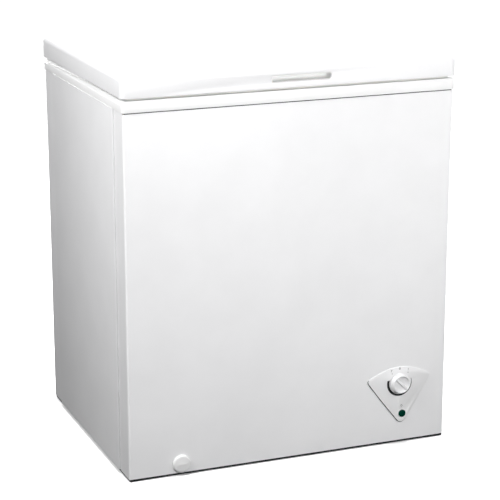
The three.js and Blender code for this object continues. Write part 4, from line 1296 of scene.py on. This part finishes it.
@dataclass
class ControlPanel:
    """The shield-shaped plate, its printed scale, the dial and the lamp."""

    scale_radius: float = 29.5 * MM
    print_height: float = 0.12 * MM
    figures: tuple[tuple[str, float, float], ...] = (("7", -19.4, 28.6), ("0", 0.4, 32.4), ("1", 20.6, 28.4))
    dots: tuple[tuple[float, float], ...] = ((-17.8, 22.6), (20.3, 21.6))
    plate_thickness: float = 1.3 * MM
    # how far the black copy behind the plate is shifted down and left, to paint a shadow line along its
    # lower-left edge
    shadow_line_shift: float = 1.0 * MM
    scale_ends: float = 8 * MM

    def plate(self) -> Box:
        """Builds the plate from its outline, with a soft raised edge.

        Returns:
            The plate's box.
        """
        node = Box.of("control_plate")
        box = node.at(y0=node.hi.y - self.plate_thickness)
        made = Piece.copied("control_plate", "control_plate_moulding")
        made.edit()
        bpy.ops.mesh.select_all(action="SELECT")
        thin = self.plate_thickness / node.size.y
        bpy.ops.transform.resize(value=(1, thin, 1), center_override=(node.mid.x, node.hi.y, node.mid.z))
        made.rest()
        # painted shadow: a black copy of the outline, shifted down and left behind the plate, shows as a dark
        # line along the plate's lower-left edge
        painted_shadow_piece = made.copy("control_plate_painted_shadow").moved((-self.shadow_line_shift, 0, -self.shadow_line_shift))
        painted_shadow_piece.cut(made.copy("cutter"))
        painted_shadow_piece.fit(BLACK_RUBBER, "cabinet", "rubber")
        made.soften(0.25 * MM, 2, 50)
        made.fit(GREY_ABS, "cabinet", "grey_plastic", ["control_plate"], 40)
        return box

    def ink(self, piece: Piece) -> None:
        """Finishes a printed mark."""
        piece.fit(INK, "cabinet", "dark_plastic")

    def crescent(self, x: float, y: float, z: float) -> None:
        """Prints the scale: a ring below the dial that swells towards the coldest end.

        Args:
            x: the dial's middle along X.
            y: the plate's face.
            z: the dial's middle height.
        """
        r = self.scale_radius
        thick, thin, low = 5.4 * MM, 1.2 * MM, 4.0 * MM
        inner = r - (thick + thin) / 2
        off_x = (thick - thin) / 2
        off_z = low - r + math.sqrt(inner**2 - off_x**2)
        made = Piece.bar("scale_crescent", r, (x, y, z), (x, y - self.print_height, z), 128)
        ends = [(x + off_x, y + way * MM, z + off_z) for way in (1, -1)]
        made.cut(Piece.bar("cutter", inner, *ends, 128))
        above = Box.span((x - 2 * r, x + 2 * r), (y - MM, y + MM), (z + self.scale_ends, z + 2 * r))
        made.cut(Piece.block("cutter", above))
        self.ink(made)

    def figure(self, body: str, x: float, y: float, z: float, name: str) -> None:
        """Prints one figure of the scale.

        Args:
            body: the figure.
            x: its middle along X.
            y: the plate's face.
            z: its middle height.
            name: the piece's name.
        """
        Piece.clear()
        bpy.ops.object.text_add(location=(x, y, z), rotation=(math.pi / 2, 0, 0))
        text = bpy.context.object
        text.data.body, text.data.size, text.data.extrude = body, 7.5 * MM, self.print_height / 2
        text.data.align_x, text.data.align_y = "CENTER", "CENTER"
        bpy.ops.object.convert(target="MESH")
        self.ink(Piece.taken(name))

    def dial(self) -> None:
        """Builds the dial: a skirt, a low drum, a dished face and the grip bar across it."""
        box = Box.of("thermostat_knob")
        back, x, z = box.hi.y, box.mid.x, box.mid.z
        high, wide = box.size.y, box.size.x / 2
        face, dish, deep = wide - 2.5 * MM, wide - 4.8 * MM, 4.5 * MM
        stations = [
            (3.4 * MM, 0.0), (wide - 0.5 * MM, 0.0), (wide, 0.4 * MM), (wide, 1.8 * MM),
            (wide - 0.6 * MM, 2.4 * MM),
            (face + 1.2 * MM, 3.0 * MM), (face + 0.6 * MM, 3.8 * MM), (face, high - 1.6 * MM),
            (face - 0.5 * MM, high - 0.5 * MM), (face - 1.3 * MM, high), (dish + 0.5 * MM, high - 0.1 * MM),
            (dish, high - 0.8 * MM), (dish - 0.8 * MM, high - deep + 0.9 * MM),
            (dish - 2.0 * MM, high - deep),
            (0.2 * MM, high - deep - 0.2 * MM),
        ]
        made = Piece.turned("thermostat_dial", stations, (x, back, z), Facing.FRONT, 72)
        bar = Box.span(
            (x - dish - 0.3 * MM, x + dish + 0.3 * MM),
            (back - high + 0.5 * MM, back - high + deep + 0.3 * MM),
            (z - 3 * MM, z + 3 * MM),
        )
        grip = Piece.block("grip", bar)
        grip.edit()
        grip.pick_faces(lambda mid, normal: normal.y < -0.9)
        bpy.ops.transform.resize(value=(1, 1, 0.62), center_override=(x, bar.lo.y, z))
        grip.rest()
        grip.soften(0.7 * MM, 3, 30)
        to_axis = Matrix.Translation((x, 0, z))
        turn = to_axis @ Matrix.Rotation(math.radians(45), 4, "Y") @ to_axis.inverted()
        grip.obj.data.transform(turn)
        made.join(grip)
        made.fit(DIAL_ABS, "thermostat_dial", "grey_plastic", ["thermostat_knob"], 40)
        pointer = Piece.block("dial_pointer", Box.span(
            (x - dish + 0.6 * MM, x - dish + 7 * MM), (bar.lo.y - self.print_height, bar.lo.y + 0.1 * MM),
            (z - 0.7 * MM, z + 0.7 * MM),
        ))
        pointer.obj.data.transform(turn)
        pointer.fit(DIAL_ABS, "thermostat_dial", "grey_plastic")

    def lamp(self) -> None:
        """Builds the lamp: a bezel ring and a domed lens in it."""
        box = Box.of("indicator_lamp")
        plate_front = Box.of("control_plate").hi.y - self.plate_thickness
        x, z, radius = box.mid.x, box.mid.z, box.size.x / 2
        proud = plate_front - box.lo.y
        bezel = [
            (radius - 0.7 * MM, 0.05 * MM), (radius, 0.05 * MM), (radius, 0.4 * MM),
            (radius - 0.2 * MM, 0.7 * MM),
            (radius - 0.5 * MM, 0.7 * MM), (radius - 0.7 * MM, 0.4 * MM), (radius - 0.7 * MM, 0.05 * MM),
        ]
        Piece.turned("lamp_bezel", bezel, (x, plate_front, z), Facing.FRONT).fit(
            GREY_ABS, "cabinet", "grey_plastic"
        )
        inner = radius - 0.8 * MM
        body = [
            (inner - MM, -box.size.y + 4 * MM), (inner - MM, -0.5 * MM), (inner, 0.0),
            (inner, proud - 1.2 * MM),
            (inner * 0.82, proud - 0.6 * MM), (inner * 0.5, proud - 0.15 * MM), (inner * 0.1, proud),
        ]
        Piece.turned("lamp_lens", body, (x, plate_front, z), Facing.FRONT).fit(
            LAMP_GREEN, "cabinet", "green_lens", ["indicator_lamp"]
        )

    def build(self) -> None:
        """Builds the control panel."""
        box = self.plate()
        knob = Box.of("thermostat_knob").mid
        x, z, face = knob.x, knob.z, box.lo.y - 0.01 * MM
        self.crescent(x, face, z)
        for i, (body, dx, dz) in enumerate(self.figures):
            self.figure(body, x + dx * MM, face, z + dz * MM, f"scale_figure_{i + 1}")
        for i, (dx, dz) in enumerate(self.dots):
            at = Vector((x + dx * MM, face, z + dz * MM))
            top = at - Vector((0, self.print_height, 0))
            self.ink(Piece.bar(f"scale_dot_{i + 1}", 0.9 * MM, at, top, 16))
        lamp = Box.of("indicator_lamp").mid
        at = Vector((lamp.x - 1.2 * MM, face, lamp.z + 17.8 * MM))
        mark = Piece.bar("lamp_mark", 2.3 * MM, at, at - Vector((0, self.print_height, 0)), 32)
        mark.cut(Piece.bar("cutter", 1.7 * MM, at + Vector((0, MM, 0)), at - Vector((0, MM, 0)), 32))
        self.ink(mark)
        self.dial()
        self.lamp()
        dress(WHITE_ABS, "control_housing")
        dress(ZINC, "thermostat_body", "thermostat_shaft")
        dress(COPPER, "thermostat_capillary")


@dataclass
class FrontDrain:
    """The pull-out spout and its turning cap."""

    def build(self) -> None:
        """Builds the cap with its grip bar; the spout and the elbow keep their shapes."""
        box = Box.of("drain_cap")
        x, z, back, radius = box.mid.x, box.mid.z, box.hi.y, box.size.x / 2
        deep = 6 * MM
        bore = Box.of("drain_spout").size.x / 2 + GAP
        stations = [
            (bore, 4.4 * MM), (bore, 0.0), (radius - 1.0 * MM, 0.0), (radius, 0.8 * MM),
            (radius, deep - 4.4 * MM),
            (radius - 0.8 * MM, deep - 2.6 * MM), (radius - 2.2 * MM, deep - 1.1 * MM),
            (radius - 3.8 * MM, deep - 0.4 * MM),
            (radius - 5.4 * MM, deep - 0.2 * MM), (0.2 * MM, deep - 0.1 * MM),
        ]
        made = Piece.turned("drain_cap_dial", stations, (x, back, z), Facing.FRONT, 64)
        grip = Piece.block("grip", Box.span(
            (x - 0.7 * radius, x + 0.7 * radius), (back - deep + 0.1 * MM, back - deep + 1.4 * MM),
            (z - 2 * MM, z + 2 * MM),
        ))
        made.join(grip.soften(0.3 * MM, 3, 40))
        made.fit(WHITE_ABS, "drain_dial", "white_plastic", ["drain_cap"], 40)
        dress(WHITE_ABS, "drain_spout", "drain_pipe")


@dataclass
class Basket:
    """The coated wire basket that hangs in the tub."""

    rim: float = 2.4 * MM
    wire: float = 1.4 * MM
    pitch: float = 24 * MM
    corner: float = 12 * MM

    def loop(self, box: Box, z: float, inset: float) -> list[Vector]:
        """A rectangle with round corners at one height.

        Args:
            box: the rectangle's outside.
            z: its height.
            inset: how far it lies inside the box.

        Returns:
            The path's points.
        """
        x0, x1 = box.lo.x + inset, box.hi.x - inset
        y0, y1 = box.lo.y + inset, box.hi.y - inset
        r = self.corner
        corners = ((x1 - r, y0 + r, -90), (x1 - r, y1 - r, 0), (x0 + r, y1 - r, 90), (x0 + r, y0 + r, 180))
        points = []
        for x, y, start in corners:
            for i in range(7):
                turn = math.radians(start + 15 * i)
                points.append(Vector((x + r * math.cos(turn), y + r * math.sin(turn), z)))
        return points

    def build(self) -> None:
        """Builds the rims, the floor and side wires, and the hooks on both sides."""
        node = Box.of("wire_basket")
        reach = 19 * MM
        body = node.grown(0, -reach, 0)
        top = node.hi.z - 6 * MM
        r, w = self.rim, self.wire
        wires = [Piece.swept("wires", self.loop(body, top - r, r), r, 3, True)]
        tall = top - body.lo.z
        heights = [body.lo.z + w + 2 * w, body.lo.z + 0.36 * tall, body.lo.z + 0.7 * tall]
        for z in heights:
            wires.append(Piece.swept("ring", self.loop(body, z, 3 * w), w, 2, True))
        floor, lip = body.lo.z + w, top - r
        spans = (
            ("x", body.lo.x, body.hi.x, body.lo.y, body.hi.y),
            ("y", body.lo.y, body.hi.y, body.lo.x, body.hi.x),
        )
        for axis, a0, a1, b0, b1 in spans:
            count = round((b1 - b0 - 2 * self.corner) / self.pitch)
            for i in range(count + 1):
                b = b0 + self.corner + (b1 - b0 - 2 * self.corner) * i / count
                path = self.bent([(a0 + w, lip), (a0 + w, floor), (a1 - w, floor), (a1 - w, lip)], 8 * MM)
                points = [Vector((a, b, z)) if axis == "x" else Vector((b, a, z + 2 * w)) for a, z in path]
                wires.append(Piece.swept("u", points, w, 1))
        for side in (-1, 1):
            y_in = body.hi.y - r if side > 0 else body.lo.y + r
            y_out = node.hi.y - r if side > 0 else node.lo.y + r
            x0, x1 = body.lo.x + 22 * MM, body.hi.x - 22 * MM
            z_hook = node.hi.z - r
            hook = [Vector((x0, y_in, lip)), Vector((x0, y_in, z_hook)), Vector((x0, y_out, z_hook)),
                    Vector((x1, y_out, z_hook)), Vector((x1, y_in, z_hook)), Vector((x1, y_in, lip))]
            wires.append(Piece.swept("hook", self.eased(hook, 4 * MM), r, 3))
        made = wires[0].merge(wires[1:])
        made.obj.name = "basket_wires"
        made.fit(COATED_WIRE, "basket", "white_wire", ["wire_basket"], 50)

    @staticmethod
    def bent(corners: list[tuple[float, float]], radius: float) -> list[tuple[float, float]]:
        """Rounds the inner corners of a flat path."""
        points = Basket.eased([Vector((a, 0, z)) for a, z in corners], radius)
        return [(p.x, p.z) for p in points]

    @staticmethod
    def eased(corners: list[Vector], radius: float) -> list[Vector]:
        """Rounds the inner corners of a path.

        Args:
            corners: the path's corners.
            radius: how far from each corner the bend starts.

        Returns:
            The path's points.
        """
        points = [corners[0]]
        for before, corner, after in zip(corners, corners[1:], corners[2:]):
            start = corner + (before - corner).normalized() * radius
            end = corner + (after - corner).normalized() * radius
            for i in range(6):
                t = i / 5
                points.append(start * (1 - t) ** 2 + corner * (2 * t * (1 - t)) + end * t**2)
        points.append(corners[-1])
        return points


@dataclass
class Hinges:
    """Two hinges on the rear edge: bracket, arm, pin, spring and screws."""

    def build(self) -> None:
        """Refines the stamped parts and turns the screws."""
        for hand in ("left", "right"):
            for kind, body in (("bracket", "cabinet"), ("arm", "lid")):
                node = f"hinge_{kind}_{hand}"
                stamped = Piece.copied(node, f"{node}_stamping").soften(0.5 * MM, 2, 40)
                stamped.fit(ZINC, body, "zinc_steel", [node])
            pin = Box.of(f"hinge_pin_{hand}")
            ends = [(pin.lo.x, pin.mid.y, pin.mid.z), (pin.hi.x, pin.mid.y, pin.mid.z)]
            head = 1.8 * MM
            made = Piece.bar(f"hinge_pin_{hand}_rivet", 3 * MM, *ends, 32)
            for end, way in zip(ends, (1, -1)):
                made.join(Piece.bar("head", pin.size.z / 2, end, (end[0] + way * head, *end[1:]), 32))
            made.soften(0.5 * MM, 3, 40).fit(ZINC, "cabinet", "zinc_steel", [f"hinge_pin_{hand}"])
            self.spring(hand)
        for node in [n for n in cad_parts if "_screw_" in n]:
            self.screw(node)

    def spring(self, hand: str) -> None:
        """Winds the torsion spring round the pin.

        Args:
            hand: left or right, as in the node's name.
        """
        node = f"hinge_spring_{hand}"
        box, pin = Box.of(node), Box.of(f"hinge_pin_{hand}").mid
        wire, radius, turns = 0.8 * MM, 5 * MM, 5
        x0, x1 = box.lo.x + wire, box.hi.x - wire
        steps = turns * 28
        points = []
        for i in range(steps + 1):
            turn = 2 * math.pi * turns * i / steps
            points.append(Vector((
                x0 + (x1 - x0) * i / steps, pin.y + radius * math.cos(turn), pin.z + radius * math.sin(turn),
            )))
        points.append(points[-1] + Vector((0, -2 * MM, -13.5 * MM)))
        Piece.swept(f"{node}_coil", points, wire, 2).fit(SPRING, "cabinet", "black_steel", [node], 60)

    def screw(self, node: str) -> None:
        """Turns a pan-head screw and cuts its cross recess.

        Args:
            node: the screw's node.
        """
        box = Box.of(node)
        x, z, radius = box.mid.x, box.mid.z, box.size.x / 2
        head = 2.28 * MM
        seat = box.hi.y - head
        stations = [
            (0.4 * MM, box.lo.y - seat), (1.5 * MM, box.lo.y - seat + MM),
            (1.85 * MM, box.lo.y - seat + 1.6 * MM),
            (1.85 * MM, 0.0), (radius, 0.0), (radius, 0.6 * MM), (radius * 0.92, 1.3 * MM),
            (radius * 0.7, 1.9 * MM),
            (radius * 0.35, 2.2 * MM), (0.1 * MM, head),
        ]
        made = Piece.turned(f"{node}_head", stations, (x, seat, z), Facing.REAR, 28)
        for wide, tall in ((3.4, 0.75), (0.75, 3.4)):
            made.cut(Piece.block("cutter", Box.span(
                (x - wide / 2 * MM, x + wide / 2 * MM), (box.hi.y - 1.1 * MM, box.hi.y + MM),
                (z - tall / 2 * MM, z + tall / 2 * MM),
            )))
        made.fit(ZINC, "cabinet", "zinc_steel", [node], 40)


@dataclass
class CompressorBay:
    """The compressor on its rubber mounts, its pipes, and the louvred grille and gland behind it."""

    louvres: int = 10

    def grille(self) -> None:
        """Builds the grille: a framed plate whose slots are hooded by louvres."""
        box = Box.of("compressor_grille")
        made = Piece.block("rear_grille", box).round(lambda _, way: abs(way.y) > 0.9, 4 * MM, 5)
        inner = box.grown(-20 * MM, 0, -10 * MM)
        pitch = inner.size.z / (self.louvres + 1)
        for i in range(1, self.louvres + 1):
            z = inner.lo.z + i * pitch
            slot = inner.at(y0=box.lo.y - 3 * MM, y1=box.hi.y + 3 * MM, z0=z - 3 * MM, z1=z + 3 * MM)
            made.cut(obround("cutter", slot, 4))
        for i in range(1, self.louvres + 1):
            z = inner.lo.z + i * pitch + 3.4 * MM
            hood = Piece.block("hood", Box.span(
                (inner.lo.x - 2 * MM, inner.hi.x + 2 * MM), (box.hi.y - 0.6 * MM, box.hi.y + 3.2 * MM),
                (z - 0.8 * MM, z + 0.8 * MM),
            ))
            hood.edit()
            hood.pick_faces(lambda mid, normal: normal.y > 0.9)
            bpy.ops.transform.translate(value=(0, 0, -4.2 * MM))
            hood.rest()
            made.join(hood)
        made.soften(0.4 * MM, 1, 50)
        made.fit(BLACK_PP, "cabinet", "dark_plastic", ["compressor_grille"])

    def gland(self) -> None:
        """Builds the gland: a flange, and a ribbed tail that tapers."""
        box = Box.of("mains_lead_gland")
        seat = Box.of("back_panel").hi.y
        bore = 4 * MM
        stations = [
            (bore, -12 * MM), (9 * MM, -12 * MM), (9 * MM, 0.3 * MM), (12 * MM, 0.3 * MM),
            (12 * MM, 3.4 * MM),
            (11 * MM, 4.2 * MM), (7.4 * MM, 6 * MM),
        ]
        for i in range(5):
            z, r = (7.5 + 2.4 * i) * MM, (7.2 - 0.3 * i) * MM
            neck = r - 0.9 * MM
            stations += [(r, z), (neck, z + 0.6 * MM), (neck, z + 1.4 * MM), (r - 0.2 * MM, z + 1.8 * MM)]
        stations += [(5.4 * MM, box.hi.y - seat), (bore, box.hi.y - seat), (bore, -12 * MM)]
        made = Piece.turned("mains_gland_boot", stations, (box.mid.x, seat, box.mid.z), Facing.REAR, 32)
        made.fit(BLACK_PP, "cabinet", "dark_plastic", ["mains_lead_gland"], 50)

    def compressor(self) -> None:
        """Builds the shell: two deep-drawn halves with a welded lap between them."""
        box = Box.of("compressor")
        r, h = box.size.x / 2, box.size.z
        s = 3 * MM
        stations = [
            (r * 0.5, 0), (r * 0.72, h * 0.025), (r * 0.86, h * 0.09), (r - s * 1.2, h * 0.19),
            (r - s, h * 0.27),
            (r - s, h * 0.5), (r - 0.4 * s, h * 0.505), (r, h * 0.515), (r, h * 0.545),
            (r - 0.4 * s, h * 0.555),
            (r - s, h * 0.56), (r - s * 1.3, h * 0.68), (r - s * 2.4, h * 0.78), (r * 0.86, h * 0.87),
            (r * 0.7, h * 0.94),
            (r * 0.45, h * 0.985), (r * 0.2, h * 0.998), (0.2 * MM, h),
        ]
        made = Piece.turned("compressor_shell", stations, (box.mid.x, box.mid.y, box.lo.z), sides=72)
        made.fit(BLACK_PAINT, "cabinet", "black_steel", ["compressor"], 40)

    def build(self) -> None:
        """Builds the bay."""
        self.compressor()
        self.grille()
        self.gland()
        for node, finish, slot, width in (
            ("compressor_mounting_plate", BLACK_PAINT, "black_steel", 0.6),
            ("relay_cover", BLACK_PP, "dark_plastic", 1.6),
        ):
            Piece.copied(node, f"{node}_part").soften(width * MM, 2, 40).fit(finish, "cabinet", slot, [node])
        for i in range(1, 5):
            self.mount(f"rubber_mount_{i}")
        self.tubes()

    def mount(self, node: str) -> None:
        """Turns one rubber mount: a foot, a neck through the plate and a barbed head.

        Args:
            node: the mount's node.
        """
        box = Box.of(node)
        bore, foot, neck, h = 4 * MM, box.size.x / 2, 8.2 * MM, box.size.z
        top = h - 4 * MM
        stations = [
            (bore, 0.0), (foot - MM, 0.0), (foot, MM), (foot - 1.2 * MM, 4 * MM), (foot, 7 * MM),
            (foot, 10.4 * MM),
            (foot - 0.8 * MM, 11.2 * MM), (neck, 11.4 * MM), (neck, top), (neck + 2 * MM, top),
            (neck + 2 * MM, top + MM),
            (neck + 0.6 * MM, h - 0.6 * MM), (neck - 0.4 * MM, h), (bore, h), (bore, 0.0),
        ]
        Piece.turned(f"{node}_grommet", stations, (box.mid.x, box.mid.y, box.lo.z), sides=32).fit(
            BLACK_RUBBER, "cabinet", "rubber", [node], 50
        )

    def tubes(self) -> None:
        """Rounds the faceted tubes of the cooling circuit by subdivision."""
        rounds = (
            ("suction_line", COPPER, "copper"), ("discharge_line", COPPER, "copper"),
            ("filter_drier", COPPER, "copper"),
            ("condenser_coil_left", COPPER, "copper"), ("condenser_coil_right", COPPER, "copper"),
            ("evaporator_coil", ALUMINIUM, "aluminium"),
        )
        for node, finish, slot in rounds:
            made = Piece.copied(node, f"{node}_tube")
            made.edit()
            bpy.ops.mesh.select_all(action="SELECT")
            bpy.ops.mesh.tris_convert_to_quads()
            made.rest()
            made.modified("SUBSURF", levels=1, render_levels=1).fit(finish, "cabinet", slot, [node], 180)


def main() -> None:
    """Builds the freezer in order."""
    logging.basicConfig(level=logging.INFO, format="%(name)s: %(message)s")
    Piece.clear()
    Studio().build()
    parts = (
        CabinetShell(), TopFrame(), Tub(), Lid(), ControlPanel(), FrontDrain(),
        Basket(), Hinges(), CompressorBay(),
    )
    for part in parts:
        LOG.info("building %s", type(part).__name__)
        part.build()
    Piece.clear()
    bpy.context.view_layer.update()


if __name__ == "__main__":
    main()
